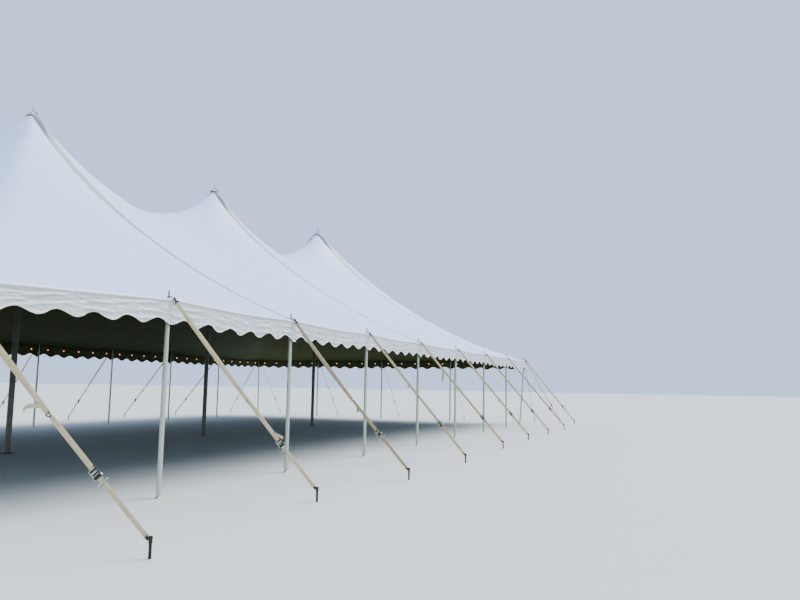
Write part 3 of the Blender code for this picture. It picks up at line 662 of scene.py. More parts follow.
def grid_piece(name, points, flat, finishes, marks=None):
    """A sheet from rows of points, each with its place on the flat cloth, facing row across column.

    The marks, where given, are the number of each face's finish.
    """
    rows, columns = points.shape[:2]
    knot = np.arange(rows * columns).reshape(rows, columns)
    corners = np.stack([knot[:-1, :-1], knot[1:, :-1], knot[1:, 1:], knot[:-1, 1:]], -1)
    faces = corners.reshape(-1, 4)
    mesh = bpy.data.meshes.new(name)
    mesh.from_pydata(points.reshape(-1, 3).tolist(), [], faces.tolist())
    layer = mesh.uv_layers.new(name="UVMap")
    layer.data.foreach_set("uv", flat.reshape(-1, 2)[faces.ravel()].ravel().astype(np.float32))
    piece = coat(bpy.data.objects.new(name, mesh), *finishes)
    if marks is not None:
        mesh.polygons.foreach_set("material_index", marks.ravel().astype(np.int32))
    mesh.shade_smooth()
    bpy.context.scene.collection.objects.link(piece)
    return piece


def with_thickness(piece, thickness, inner_finish=0):
    """Grows a sheet inwards from its outer face and keeps the result in its mesh.

    The inner face takes the finish that stands so many places further on, so every finish is on
    the piece before this.
    """
    make_active(piece)
    wall = piece.modifiers.new("thickness", "SOLIDIFY")
    wall.thickness = thickness
    wall.offset = -1.0
    wall.use_even_offset = False
    wall.material_offset = inner_finish
    bpy.ops.object.modifier_apply(modifier=wall.name)
    return piece


def turned(name, profile, sides, finish):
    """A round piece drawn up from its foot: a filled ring, extruded and resized step by step."""
    nothing_selected()
    radius, z = profile[0]
    bpy.ops.mesh.primitive_circle_add(
        vertices=sides, radius=radius, fill_type="NGON", location=(0.0, 0.0, z)
    )
    piece = named(bpy.context.active_object, name)
    bpy.ops.object.transform_apply(location=True, rotation=True, scale=True)
    bpy.ops.object.mode_set(mode="EDIT")
    bpy.ops.mesh.select_all(action="SELECT")
    for next_radius, next_z in profile[1:]:
        bpy.ops.mesh.extrude_region_move(
            TRANSFORM_OT_translate={"value": (0.0, 0.0, next_z - z)}
        )
        share = next_radius / radius
        bpy.ops.transform.resize(value=(share, share, 1.0), center_override=(0.0, 0.0, next_z))
        radius, z = next_radius, next_z
    bpy.ops.mesh.select_all(action="SELECT")
    bpy.ops.mesh.normals_make_consistent(inside=False)
    bpy.ops.object.mode_set(mode="OBJECT")
    bpy.ops.object.shade_smooth_by_angle(angle=SMOOTH_ANGLE)
    return coat(piece, finish)


def cross_rod(name, at, radius, half, finish, sides=16):
    """A round bar across the Y axis at a place, with its two ends eased."""
    ease = radius * 0.25
    ends = [(radius - ease, half), (radius, half - ease)]
    profile = [(r, -z) for r, z in ends] + ends[::-1]
    rod = turned(name, profile, sides, finish)
    return laid(rod, at, Matrix.Rotation(math.pi / 2, 4, "X"))


def block(name, size, middle, bevel, finish):
    """A bar or plate with its edges rounded off."""
    nothing_selected()
    bpy.ops.mesh.primitive_cube_add(size=1.0, location=middle)
    piece = named(bpy.context.active_object, name)
    piece.scale = size
    bpy.ops.object.transform_apply(location=True, rotation=True, scale=True)
    bpy.ops.object.mode_set(mode="EDIT")
    bpy.ops.mesh.select_all(action="SELECT")
    bpy.ops.mesh.bevel(offset=bevel, segments=2, affect="EDGES")
    bpy.ops.object.mode_set(mode="OBJECT")
    bpy.ops.object.shade_smooth_by_angle(angle=SMOOTH_ANGLE)
    return coat(piece, finish)


def bent_rod(name, points, radius, finish, closed=False):
    """A round rod bent through points, drawn as a curve and kept as a mesh."""
    curve = bpy.data.curves.new(name, "CURVE")
    curve.dimensions = "3D"
    curve.bevel_depth = radius
    curve.bevel_resolution = 2
    curve.use_fill_caps = True
    line = curve.splines.new("POLY")
    line.points.add(len(points) - 1)
    for knot, at in zip(line.points, points):
        knot.co = (*at, 1.0)
    line.use_cyclic_u = closed
    rod = bpy.data.objects.new(name, curve)
    bpy.context.scene.collection.objects.link(rod)
    make_active(rod)
    bpy.ops.object.convert(target="MESH")
    piece = named(bpy.context.active_object, name)
    bpy.ops.object.shade_smooth()
    return coat(piece, finish)


def moved_copy(master, name, matrix):
    """A copy of a piece with a mesh of its own, moved by a matrix."""
    mesh = master.data.copy()
    mesh.transform(matrix)
    piece = bpy.data.objects.new(name, mesh)
    mesh.name = name
    bpy.context.scene.collection.objects.link(piece)
    return piece


def joined(name, pieces):
    """One piece from several, with every finish that they bring."""
    nothing_selected()
    for piece in pieces:
        piece.select_set(True)
    bpy.context.view_layer.objects.active = pieces[0]
    if len(pieces) > 1:
        bpy.ops.object.join()
    return named(bpy.context.active_object, name)


def remove(*pieces):
    """Takes away the masters that copies were made from."""
    for piece in pieces:
        bpy.data.objects.remove(piece, do_unlink=True)


class MarqueeOperator:
    """What the operators share."""

    bl_options = {"REGISTER", "UNDO"}

    @property
    def tent(self):
        """The roof's form for the sizes as they are set."""
        return RoofForm(bpy.context.scene.marquee_roof)


# Roof and valance

SECTION_NAMES = ("left_end", "middle_1", "middle_2", "right_end")


class MARQUEE_OT_roof_cloth(MarqueeOperator, bpy.types.Operator):
    """Stretch the four roof sections from their peaks to the eave"""

    bl_idname = "marquee.roof_cloth"
    bl_label = "Roof sections"

    def execute(self, context):
        sizes = context.scene.marquee_roof
        form = self.tent
        finishes = [
            coated_cloth("coated_roof_cloth", sizes.cloth_colour, 0.4, 3.4, 0.02),
            painted_shade_underside("roof_underside_painted_shade", sizes.underside_shade_colour),
        ]
        lines = form.seam_lines()
        for name, first, last in zip(SECTION_NAMES, lines, lines[1:]):
            x, y = np.meshgrid(form.x[first : last + 1], form.y, indexing="ij")
            points = np.stack([x, y, form.z[first : last + 1]], -1)
            piece = grid_piece(f"roof_{name}", points, np.stack([x, y], -1), finishes)
            with_thickness(piece, sizes.cloth_thickness, 1)
            hang(piece, "white_vinyl", f"canopy_{name}")
        return {"FINISHED"}


COLUMNS_PER_BAY = 96
CORD_CREST = 0.010  # how far under the roof's edge the edge roll stands out most
CORD_ROWS = (0.0, 0.002, 0.005, 0.010, 0.016, 0.022, 0.030, 0.038, 0.046)
ROLL_ROWS = 5  # of them that take the roll's brighter finish, which is painted light
LOWER_ROWS = 24
HEM_CREASE = 0.002  # how far the cloth is drawn in along the binding's stitching
BINDING_STEP = 0.003  # how far the binding stands proud
LAP = 0.06  # how far a section's valance laps over the next one
LAP_LIFT = 0.010  # how far a lap stands off the valance under it
LAP_SHADE_WIDTH = 0.012  # width of the dark strip along a lap's end, painted shade at its edge
LAP_HANG = 0.015  # how far a lap hangs below the lobes beside it
VALANCE_THINNESS = 0.8  # thickness of the valance's cloth against the roof's
BINDING_ROWS = 4  # rows of faces that the binding covers
BINDING_FINISH, ROLL_FINISH, LAP_SHADE_FINISH = 1, 2, 3  # places in the valance's row of finishes
BAY_TURN = 2.399963  # sets the folds of neighbouring bays out of step
RIPPLE, RIPPLE_LONG = 0.0035, 0.31  # height and length of the folds that run down from the eave
FINE_RIPPLE, FINE_RIPPLE_LONG = 0.0025, 0.173
DRAWN, DRAWN_DEEP = 0.0028, 0.11  # of the folds that lie along it, which end at the slack corner
CRUMPLE, CRUMPLE_DEEP = 0.0150, 0.092  # of the sharper ones, highest near the slack corner
CRUMPLED_EVERYWHERE = 0.3  # their height far from that corner, as a share
CRUMPLE_BEND, CRUMPLE_SWELL = 1.3, 0.83  # lengths over which they wander and swell
PUCKER, PUCKER_LONG, PUCKER_DEEP = 0.0034, 0.21, 0.075
PUCKER_SKEW, PUCKER_BEND = 1.1, 0.47  # lengths over which the puckers wander
FLARE, FLARE_LONG = 0.010, 0.508  # how far the scallops stand out, and the length of its swing
HELD_DEEP, FREED_DEEP = 0.03, 0.08  # where the folds start under the roof's edge, and fade in over
SLACK_BAYS, SLACK_SHAPE = 1.05, 0.7  # how far the slack reaches, and how soon it falls off
NEAR_SLACK_BAYS = 1.6  # how far the sharper folds reach
CREASE_PARTS = 4  # a crease fades in over one such part of its length, and out over another
STITCHED_ABOVE = 0.006  # from the last plain row to the binding
TAPE_EDGE = 0.001  # how soon the binding stands proud
LAP_STEP_DEEP = 0.02  # how soon a lap stands off
MEAN_WAVE, CREST_WAVE = 2.28, 5.11  # of exp(2 cos): its mean, and its crest above that
CREASES = (  # beside the slack corner: height, half width, and places along from it and down
    (0.012, 0.010, (
        (0.5, 0.16), (0.84, 0.146), (1.05, 0.1), (1.22, 0.061), (1.31, 0.073), (1.4, 0.056),
        (1.64, 0.02),
    )),
    (-0.010, 0.010, (
        (0.7, 0.19), (0.88, 0.172), (1.29, 0.129), (1.77, 0.086), (2.29, 0.047), (2.9, 0.02),
    )),
    (0.006, 0.014, ((0.9, 0.21), (1.4, 0.155), (1.9, 0.115), (2.4, 0.08), (2.95, 0.045))),
    (-0.008, 0.009, ((0.2, 0.07), (0.6, 0.058), (0.95, 0.062), (1.25, 0.04))),
    (0.006, 0.008, ((0.2, 0.095), (0.6, 0.085), (0.9, 0.09), (1.1, 0.075))),
)


def peaked(turn):
    """A wave with narrow crests and wide hollows, at most 1 high."""
    return (np.exp(2 * np.cos(turn)) - MEAN_WAVE) / CREST_WAVE


class ValanceStrip:
    """A stretch of valance along the eave, round any corner on its way."""

    def __init__(self, form, sizes, corners, laps):
        self.form, self.sizes = form, sizes
        spacing = form.sizes.bay / COLUMNS_PER_BAY
        corners = [np.array(corner) for corner in corners]
        places, outs, alongs = [], [], []
        travelled = 0.0
        for start, end in zip(corners, corners[1:]):
            run = np.linalg.norm(end - start)
            way = (end - start) / run
            out = np.array([way[1], -way[0]])
            steps = np.linspace(0.0, run, round(run / spacing) + 1)
            if places:
                outs[-1] = outs[-1] + out
                steps = steps[1:]
            elif laps[0]:
                steps = np.concatenate([[-LAP, LAP_SHADE_WIDTH - LAP, -LAP / 2], steps])
            if end is corners[-1] and laps[1]:
                steps = np.concatenate([steps, [run + LAP / 2, run + LAP - LAP_SHADE_WIDTH, run + LAP]])
            places += [start + way * step for step in steps]
            outs += [out] * len(steps)
            alongs += [travelled + step for step in steps]
            travelled += run
        self.place = np.array(places)
        self.out = np.array(outs)
        self.along = np.array(alongs)
        self.total = travelled
        self.starts_under = laps[2]
        inside = np.full(len(alongs), np.inf)
        if laps[0]:
            inside = np.minimum(inside, self.along)
        if laps[1]:
            inside = np.minimum(inside, self.total - self.along)
        self.lap = np.clip(1.5 - inside / (2 * spacing), 0, 1)
        x, y = self.place.T
        self.from_slack = (x + form.half_length + y + form.half_width) / form.sizes.bay

    def slackness(self):
        """1 at the slack corner, falling to 0 one bay away from it."""
        return np.clip(SLACK_BAYS - self.from_slack, 0, 1) ** SLACK_SHAPE

    def drops(self):
        """Depth of the valance at each column, square where it laps over the next."""
        sizes, bay = self.sizes, self.form.sizes.bay
        wave = np.cos(2 * np.pi * sizes.scallops * self.along / bay)
        drop = sizes.drop - sizes.scallop_depth * (1 - wave) / 2
        drop = drop * (1 - sizes.slack_gather * self.slackness())
        drop = np.where(self.lap > 0.9, sizes.drop + LAP_HANG, drop)
        if self.starts_under is not None:
            away = np.abs(self.along - self.starts_under)
            drop = drop - 2 * LAP_LIFT * np.clip(1 - away / LAP, 0, 1)
        return drop

    def folds(self, depth, drop):
        """How far the hanging cloth stands out from the eave, from folds and slack.

        Short ripples run down from the eave, long ones lie along it, and the cloth puckers all
        over. Near the slack corner the long ones are deep, and single creases cross them.
        """
        bay = self.form.sizes.bay
        turn = 2 * np.pi * self.along
        number = np.floor(self.along / bay + 1e-6)
        phase = (number + 3 * self.place[0, 0]) * BAY_TURN
        share = depth / drop
        in_bay = self.along / bay - number
        calm = np.sqrt(np.abs(np.sin(np.pi * in_bay)))
        ripple = RIPPLE * share * calm * np.sin(turn / RIPPLE_LONG + phase)
        ripple += FINE_RIPPLE * share * np.sin(turn / FINE_RIPPLE_LONG + 2 * phase + 3 * share)
        lying = 2 * np.pi * (depth / DRAWN_DEEP + 1.6 * np.abs(in_bay - 0.5)) + phase
        drawn = DRAWN * (1 - self.slackness()) * np.sin(lying)
        near_slack = np.exp(-((self.from_slack / NEAR_SLACK_BAYS) ** 2))
        bend = 1.7 * np.sin(turn / CRUMPLE_BEND + 1.0)
        crumple = peaked(2 * np.pi * depth / CRUMPLE_DEEP + bend)
        crumple *= 0.6 + 0.4 * np.sin(turn / CRUMPLE_SWELL)
        crumple *= CRUMPLE * (CRUMPLED_EVERYWHERE + (1 - CRUMPLED_EVERYWHERE) * near_slack)
        pucker = PUCKER * np.sin(turn / PUCKER_LONG + 3 * np.sin(turn / PUCKER_SKEW) + phase)
        bend = 2 * np.sin(turn / PUCKER_BEND)
        pucker = pucker * np.sin(2 * np.pi * depth / PUCKER_DEEP + bend)
        flare = FLARE * share**2 * (1 + 0.5 * np.sin(turn / FLARE_LONG + phase))
        hang_free = np.clip((depth - HELD_DEEP) / FREED_DEEP, 0, 1)
        creases = np.zeros(len(self.along))
        from_corner = self.from_slack * bay
        for height, half_width, places in CREASES:
            start, end = places[0][0], places[-1][0]
            middle = np.interp(from_corner, *zip(*places))
            inside = np.minimum(from_corner - start, end - from_corner)
            fade = np.clip(CREASE_PARTS * inside / (end - start), 0, 1)
            creases += height * fade * np.exp(-(((depth - middle) / half_width) ** 2))
        return hang_free * (ripple + drawn + crumple + pucker + flare) + creases

    def roll(self, depth):
        """How far the roll along the roof's edge stands out, at a depth below the edge."""
        rising = np.sqrt(1 - (1 - np.minimum(depth / CORD_CREST, 1)) ** 2)
        back = np.clip((depth - CORD_CREST) / (CORD_ROWS[-1] - CORD_CREST), 0, 1)
        return self.sizes.cord_radius * rising * (1 + np.cos(np.pi * back)) / 2

    def points(self):
        """Rows of points from the roof's edge to the scallops, and their places on the flat."""
        form = self.form
        edge = self.place + self.out * form.sizes.overhang
        top = form.height(edge[:, 0], edge[:, 1])
        drop = self.drops()
        hem = drop - self.sizes.binding_width
        above_hem = hem - STITCHED_ABOVE
        rows = [(np.full(len(drop), depth), 0.0) for depth in CORD_ROWS]
        for k in range(1, LOWER_ROWS + 1):
            rows.append((CORD_ROWS[-1] + (above_hem - CORD_ROWS[-1]) * k / LOWER_ROWS, 0.0))
        rows.append((hem, -HEM_CREASE))
        on_tape = (hem + TAPE_EDGE, (hem + drop) / 2, drop - TAPE_EDGE)
        rows += [(depth, BINDING_STEP) for depth in on_tape]
        rows.append((drop, BINDING_STEP / 2))
        points, flat = [], []
        for depth, proud in rows:
            stand = self.roll(depth) + self.folds(depth, drop) + proud
            stand = stand + LAP_LIFT * self.lap * np.clip(depth / LAP_STEP_DEEP, 0, 1)
            at = edge + self.out * stand[:, None]
            points.append(np.column_stack([at, top - depth]))
            flat.append(np.column_stack([self.along, depth]))
        marks = np.zeros((len(rows) - 1, len(drop) - 1))
        marks[-BINDING_ROWS:] = BINDING_FINISH
        marks[:ROLL_ROWS] = ROLL_FINISH
        # The strip at a lap's end takes the dark finish, which is painted shade along the lap's edge.
        if self.along[0] < 0:
            marks[ROLL_ROWS:, 0] = LAP_SHADE_FINISH
        if self.along[-1] > self.total:
            marks[ROLL_ROWS:, -1] = LAP_SHADE_FINISH
        return np.array(points), np.array(flat), marks


class MARQUEE_OT_valance(MarqueeOperator, bpy.types.Operator):
    """Hang the scalloped valance of each section from the eave"""

    bl_idname = "marquee.valance"
    bl_label = "Valance"

    def execute(self, context):
        sizes = context.scene.marquee_valance
        form = self.tent
        cloth = form.sizes
        finishes = [
            # The valance cloth is the roof's cloth in a greyer tone, which is painted shade.
            coated_cloth("coated_valance_cloth", sizes.cloth_colour, 2.6, 6.0, 0.05),
            woven_tape("scallop_binding_tape", sizes.binding_colour),
            # The roll's brighter tone is painted light.
            coated_cloth("edge_roll_painted_light", sizes.lit_roll_colour, 1.0, 6.0, 0.01),
            # A dark olive tape for the strip at each lap's end: painted shade along the lap's edge.
            woven_tape("lap_edge_painted_shade", from_hex("#83826A")),
        ]
        # The inner faces take the dark underside finish, which is painted shade.
        finishes += [painted_shade_underside("valance_inside_painted_shade", sizes.inside_shade_colour)] * len(finishes)
        x0, x1, x2 = form.peaks
        long, wide = form.half_length, form.half_width
        left_end = [(x0, wide), (-long, wide), (-long, -wide), (x0, -wide)]
        right_end = [(x2, -wide), (long, -wide), (long, wide), (x2, wide)]
        strips = (
            ("left_end", left_end, (True, True, None)),
            ("near_middle_1", [(x0, -wide), (x1, -wide)], (False, True, 0.0)),
            ("near_middle_2", [(x1, -wide), (x2, -wide)], (False, True, 0.0)),
            ("right_end", right_end, (False, False, 0.0)),
            ("far_middle_2", [(x2, wide), (x1, wide)], (True, False, form.section)),
            ("far_middle_1", [(x1, wide), (x0, wide)], (True, False, form.section)),
        )
        for name, corners, laps in strips:
            strip = ValanceStrip(form, sizes, corners, laps)
            points, flat, marks = strip.points()
            piece = grid_piece(f"valance_{name}", points, flat, finishes, marks)
            with_thickness(piece, cloth.cloth_thickness * VALANCE_THINNESS, len(finishes) // 2)
            hang(piece, "white_vinyl")
        return {"FINISHED"}


FLAP_PUFF = 0.13  # how far a flap stands off its seam beside the crown
FLAP_CREST, FLAP_SPREAD = 0.32, 0.23  # where it stands off most, out from the peak, and how widely
FLAP_LIFT, FLAP_CLEAR = 0.006, 0.0025  # a flap's own bulge along its seam, and its gap to the roof
FLAP_FLARE, FLARE_REACH = 1.2, 2.6  # how much wider it is at the peak, and how far out that lasts
FLAP_THICKNESS = 0.0022
UNDER_CROWN = 0.12  # closer to the peak than this a flap lies flat


class MARQUEE_OT_seam_flaps(MarqueeOperator, bpy.types.Operator):
    """Lay a rain flap over each laced seam, from eave to eave under the crown"""

    bl_idname = "marquee.seam_flaps"
    bl_label = "Rain flaps"

    def execute(self, context):
        sizes = context.scene.marquee_roof
        form = self.tent
        finish = hemmed_flap("hemmed_flap_cloth", sizes.flap_colour)
        y = np.sort(np.concatenate([form.y, (form.y[1:] + form.y[:-1]) / 2]))
        away = np.abs(y)
        half = sizes.flap_width / 2 * (1 + FLAP_FLARE * np.exp(-((away / FLARE_REACH) ** 2)))
        puff = FLAP_LIFT + FLAP_PUFF * np.exp(-(((away - FLAP_CREST) / FLAP_SPREAD) ** 2))
        puff *= np.clip(away / UNDER_CROWN, 0, 1) ** 2
        shares = np.array([-1, -0.97, -0.75, -0.4, 0, 0.4, 0.75, 0.97, 1])
        lifts = np.array([0, 0.12, 0.55, 0.9, 1, 0.9, 0.55, 0.12, 0])
        for number, peak in enumerate(form.peaks, 1):
            x = peak + shares[:, None] * half
            z = form.height(x, y) + FLAP_CLEAR + lifts[:, None] * puff
            places = np.broadcast_to(y, x.shape)
            flat = np.stack([places, np.broadcast_to(shares[:, None], x.shape)], -1)
            points = np.stack([x, places, z], -1)
            piece = grid_piece(f"rain_flap_{number}", points, flat, [finish])
            with_thickness(piece, FLAP_THICKNESS)
            hang(piece, "white_vinyl")
        return {"FINISHED"}


# Poles

PIN_ABOVE_EAVE = 0.10
ABOVE_JOINT = 0.1  # only what is this far over a pole's joint moves when its eave is lower
TUBE_UNDER_EAVE = 0.011  # top of a side pole's tube
BUTTON_UNDER_JOINT, BUTTON_SUNK = 0.10, 0.0005  # of the snap button in the lower tube
SHOULDER_UNDER_EAVE = 0.045  # a corner tube is straight up to here
BOLT_HEIGHTS = (3.12, 3.28)  # on a centre pole's splice


def side_pole_labels():
    """Label, place and corner flag of each side pole, as the frame names them."""
    roof = bpy.context.scene.marquee_roof
    bays = SECTIONS * SECTION_BAYS
    long, wide = bays * roof.bay / 2, BAYS_WIDE * roof.bay / 2
    poles = []
    for side, y in (("near", -wide), ("far", wide)):
        for k in range(bays + 1):
            poles.append((f"{side}_{k}", -long + k * roof.bay, y, k in (0, bays)))
    for side, x in ((LEFT, -long), (RIGHT, long)):
        for k in range(1, BAYS_WIDE):
            poles.append((f"{side}_{k}", x, -wide + k * roof.bay, False))
    return poles


class MARQUEE_OT_side_poles(MarqueeOperator, bpy.types.Operator):
    """Stand a two-part tube with its pin under every eave point"""

    bl_idname = "marquee.side_poles"
    bl_label = "Side poles"

    def execute(self, context):
        sizes = context.scene.marquee_poles
        eave = context.scene.marquee_roof.eave_height
        pole = self.master(sizes, eave)
        for label, x, y, corner in side_pole_labels():
            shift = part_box(f"side_pole_{label}")[1][2] - (eave + PIN_ABOVE_EAVE)
            piece = moved_copy(pole, f"pole_{label}", Matrix.Identity(4))
            for vertex in piece.data.vertices:
                if vertex.co.z > sizes.joint_height + ABOVE_JOINT:
                    vertex.co.z += shift
                if corner:
                    left = max(0.0, 1 - vertex.co.z / (eave - SHOULDER_UNDER_EAVE + shift))
                    vertex.co.x -= math.copysign(sizes.corner_lean * left, x)
                    vertex.co.y -= math.copysign(sizes.corner_lean * left, y)
                vertex.co.x += x
                vertex.co.y += y
            hang(piece, "side_pole_aluminium", f"side_pole_{label}")
        remove(pole)
        return {"FINISHED"}

    def master(self, sizes, eave):
        """Foot plate, lower sleeve, joint with its snap button, upper tube and pin."""
        tube = drawn_tube("anodised_side_tube", sizes.shaded_tube_colour, 0.42, 0.03, 0.7)
        steel = forged_steel("dark_pin_steel", from_hex("#4A4C4A"))
        radius, joint = sizes.tube_radius, sizes.joint_height
        sleeve = radius + 0.003
        shoulder = eave - TUBE_UNDER_EAVE
        profile = [
            (0.045, 0.0), (0.045, 0.005), (0.042, 0.009), (sleeve + 0.003, 0.012), (sleeve, 0.016),
            (sleeve, joint - 0.018), (sleeve + 0.0025, joint - 0.015), (sleeve + 0.0025, joint + 0.012),
            (sleeve + 0.001, joint + 0.016), (radius, joint + 0.017), (radius, shoulder - 0.034),
            (radius - 0.002, shoulder - 0.030), (0.017, shoulder - 0.003), (0.015, shoulder),
        ]
        shaft = turned("shaft", profile, 24, tube)
        top = eave + PIN_ABOVE_EAVE
        profile = [(0.0095, shoulder - 0.001), (0.0095, top - 0.006), (0.0075, top - 0.001)]
        pin = turned("pin", [*profile, (0.003, top + 0.001)], 16, steel)
        profile = [(0.006, 0.0), (0.006, 0.004), (0.0045, 0.006), (0.002, 0.0068)]
        button = turned("snap_button", profile, 12, tube)
        place = (0.0, BUTTON_SUNK - sleeve, joint - BUTTON_UNDER_JOINT)
        laid(button, place, Matrix.Rotation(math.pi / 2, 4, "X"))
        return joined("side_pole", [shaft, pin, button])


class MARQUEE_OT_centre_poles(MarqueeOperator, bpy.types.Operator):
    """Raise the three centre poles, each with its crown over the peak"""

    bl_idname = "marquee.centre_poles"
    bl_label = "Centre poles and crowns"

    def execute(self, context):
        sizes = context.scene.marquee_poles
        form = self.tent
        mast = self.mast(sizes, form.sizes.peak_height)
        crown = self.crown(sizes, form)
        for number, x in enumerate(form.peaks, 1):
            at = Matrix.Translation((x, 0.0, 0.0))
            piece = moved_copy(mast, f"mast_{number}", at)
            hang(piece, "centre_pole_aluminium", f"centre_pole_{number}")
            hang(moved_copy(crown, f"crown_{number}", at), "centre_pole_aluminium")
        remove(mast, crown)
        return {"FINISHED"}

    def mast(self, sizes, peak):
        """Base plate, tube with its bolted splice, shoulder and the spike through the peak."""
        # The dark tone is painted shade under the roof, and the foot made 2.4 times as light is painted
        # light from below.
        tube = drawn_tube("mast_tube_painted_shade", sizes.shaded_mast_colour, 0.5, 0.02, 0.6, 2.4)
        radius = sizes.mast_radius
        profile = [
            (0.12, 0.0), (0.12, 0.008), (0.114, 0.012), (radius + 0.012, 0.014),
            (radius + 0.003, 0.03), (radius, 0.032), (radius, 3.045), (radius + 0.005, 3.05),
            (radius + 0.007, 3.056), (radius + 0.007, 3.344), (radius + 0.005, 3.35),
            (radius, 3.355), (radius, peak - 0.22), (radius - 0.006, peak - 0.205),
            (0.026, peak - 0.09), (0.0125, peak - 0.085),
        ]
        parts = [turned("mast", profile, 32, tube)]
        profile = [
            (0.0110, peak - 0.088), (0.0110, peak + 0.152), (0.0080, peak + 0.159),
            (0.003, peak + 0.160),
        ]
        steel = plated_steel("grey_spike_steel", from_hex("#A4A6A4"))
        parts.append(turned("spike", profile, 20, steel))
        bolt = [(0.014, 0.0), (0.014, 0.006), (0.009, 0.006), (0.009, 0.014), (0.007, 0.015)]
        for height in BOLT_HEIGHTS:
            for side in (-1, 1):
                turn = Matrix.Rotation(-side * math.pi / 2, 4, "X")
                place = (0, side * (radius + 0.005), height)
                parts.append(laid(turned("bolt", bolt, 6, tube), place, turn))
        return joined("mast", parts)

    def crown(self, sizes, form):
        """The cap over the peak: a moulded dome in a steel ring, with its lug and hoop."""
        peak = form.sizes.peak_height
        cap = moulded_cap("moulded_crown_cap", sizes.crown_colour)
        dark = forged_steel("dark_crown_steel", from_hex("#333730"))
        sides, bends = 40, 16
        ring_radius, hoop_radius, lug_radius, rod = 0.112, 0.092, 0.124, 0.011
        ring_lift, hoop_foot, hoop_middle, hoop_rise = 0.012, peak - 0.15, peak - 0.094, 0.080
        profile = [
            (0.076, peak - 0.130), (0.080, peak - 0.118), (0.0795, peak - 0.092),
            (0.075, peak - 0.070), (0.065, peak - 0.050), (0.049, peak - 0.036),
            (0.030, peak - 0.029), (0.022, peak - 0.026), (0.018, peak - 0.010),
            (0.0125, peak + 0.004),
        ]
        dome = turned("dome", profile, sides, cap)
        profile = [
            (0.015, peak + 0.001), (0.016, peak + 0.006), (0.0155, peak + 0.012),
            (0.012, peak + 0.014),
        ]
        collar = turned("collar", profile, 24, dark)
        around = [math.tau * k / sides for k in range(sides)]
        ring_points = []
        for angle in around:
            x, y = ring_radius * math.cos(angle), ring_radius * math.sin(angle)
            ring_points.append((x, y, float(form.height(form.peaks[0] + x, y)) + ring_lift))
        ring = bent_rod("ring", ring_points, rod, dark, closed=True)
        to_lug = Vector((-0.37, 0.93, 0.0))
        hoop_points = [(*(to_lug * hoop_radius).xy, hoop_foot)]
        for k in range(bends + 1):
            rise = math.pi * k / bends
            reach = to_lug * (hoop_radius * math.cos(rise))
            hoop_points.append((reach.x, reach.y, hoop_middle + hoop_rise * math.sin(rise)))
        hoop_points.append((*(to_lug * -hoop_radius).xy, hoop_foot))
        hoop = bent_rod("hoop", hoop_points, rod, dark)
        lug = block("lug", (0.044, 0.028, 0.036), (0.0, 0.0, 0.0), 0.006, dark)
        turn = Matrix.Rotation(math.atan2(to_lug.y, to_lug.x), 4, "Z")
        laid(lug, to_lug * lug_radius + Vector((0.0, 0.0, peak - 0.160)), turn)
        return joined("crown", [dome, collar, ring, hoop, lug])


# Guys

LONG_SIDE_STAKES = (  # of the poles between two corners: along the side, then out from it
    (0.63, 1.84), (0.05, 2.09), (-0.25, 2.17), (0.27, 2.02), (0.22, 2.00), (-0.05, 2.03),
    (-0.06, 2.03),
)
LEFT_CORNER_GUYS = ((0.0, 2.03), (31.0, 2.10), (105.0, 2.07))  # degrees off the long axis, reach
RIGHT_CORNER_GUYS = ((0.0, 2.03), (31.0, 2.10), (71.0, 1.95))
PIN_BELOW_TOP = 0.096  # the roof's cloth, under the top of a side pole's pin
PLATE_LIFT = 0.004  # the pin's plate over the roof's cloth
STRAP_OUT, STRAP_UNDER = 0.10, 0.05  # where the strap's line starts, from the pin's plate
TIE_BELOW_TOP = 0.05  # where the strap's line meets its stake
HOOK_LONG = 0.052  # from the webbing's end to the stake's axis
JOINT_AT = 0.53  # share of the way down at which the doubled upper strap ends
CROSS_BAR_AT = 0.783  # share of the way down of the ratchet's cross bar
RATCHET_LONG = 0.140  # from the plain strap's end to the cross bar
RING_BAR = 0.022  # where the strap turns round its ring
RING_EASE = 0.004  # room between the webbing's edge and its ring
RING_TILT = math.radians(53)  # of the ring in the tab's fold, down from level
MASTER_REACH = 2.03  # reach of the guy that is modelled and then copied
WEBBING_THICKNESS = 0.0026
UNDER_SHARE = 0.96  # width of the tab's lower layer against its upper one
BOW_STEPS = 12  # in a ring's round side
TAIL_SHAPES = {  # arch, then x from where the strap is left, y, z, width and twist at each station
    "hanging": (  # falls clear of the strap and twists as it goes
        0.002, (-0.07, 0.004, 0.010, 0.040, 0.0), (-0.10, -0.004, 0.014, 0.040, 0.0),
        (-0.13, -0.032, 0.018, 0.039, 0.1), (-0.168, -0.075, 0.020, 0.038, 0.2),
        (-0.184, -0.110, 0.018, 0.037, 0.4), (-0.180, -0.138, 0.012, 0.036, 0.6),
        (-0.165, -0.156, 0.006, 0.035, 0.8),
    ),
    "folded": (  # folded up and tucked beside the ratchet, its end standing out
        0.003, (-0.10, 0.012, 0.008, 0.040, 0.0), (-0.05, 0.030, 0.014, 0.042, 0.2),
        (-0.01, 0.052, 0.018, 0.042, 0.4), (0.02, 0.062, 0.016, 0.040, 0.5),
    ),
    "short": (  # sticks out under the strap
        0.002, (-0.05, -0.010, 0.010, 0.036, 0.0), (-0.02, -0.028, 0.012, 0.036, 0.1),
        (0.005, -0.052, 0.010, 0.034, 0.2),
    ),
    "loose": (  # hangs straight down from the strap
        0.002, (-0.04, 0.0, 0.010, 0.044, 0.0), (0.0, -0.025, 0.016, 0.048, 0.1),
        (0.06, -0.080, 0.020, 0.050, 0.2), (0.12, -0.140, 0.018, 0.050, 0.3),
        (0.17, -0.195, 0.014, 0.048, 0.4),
    ),
}


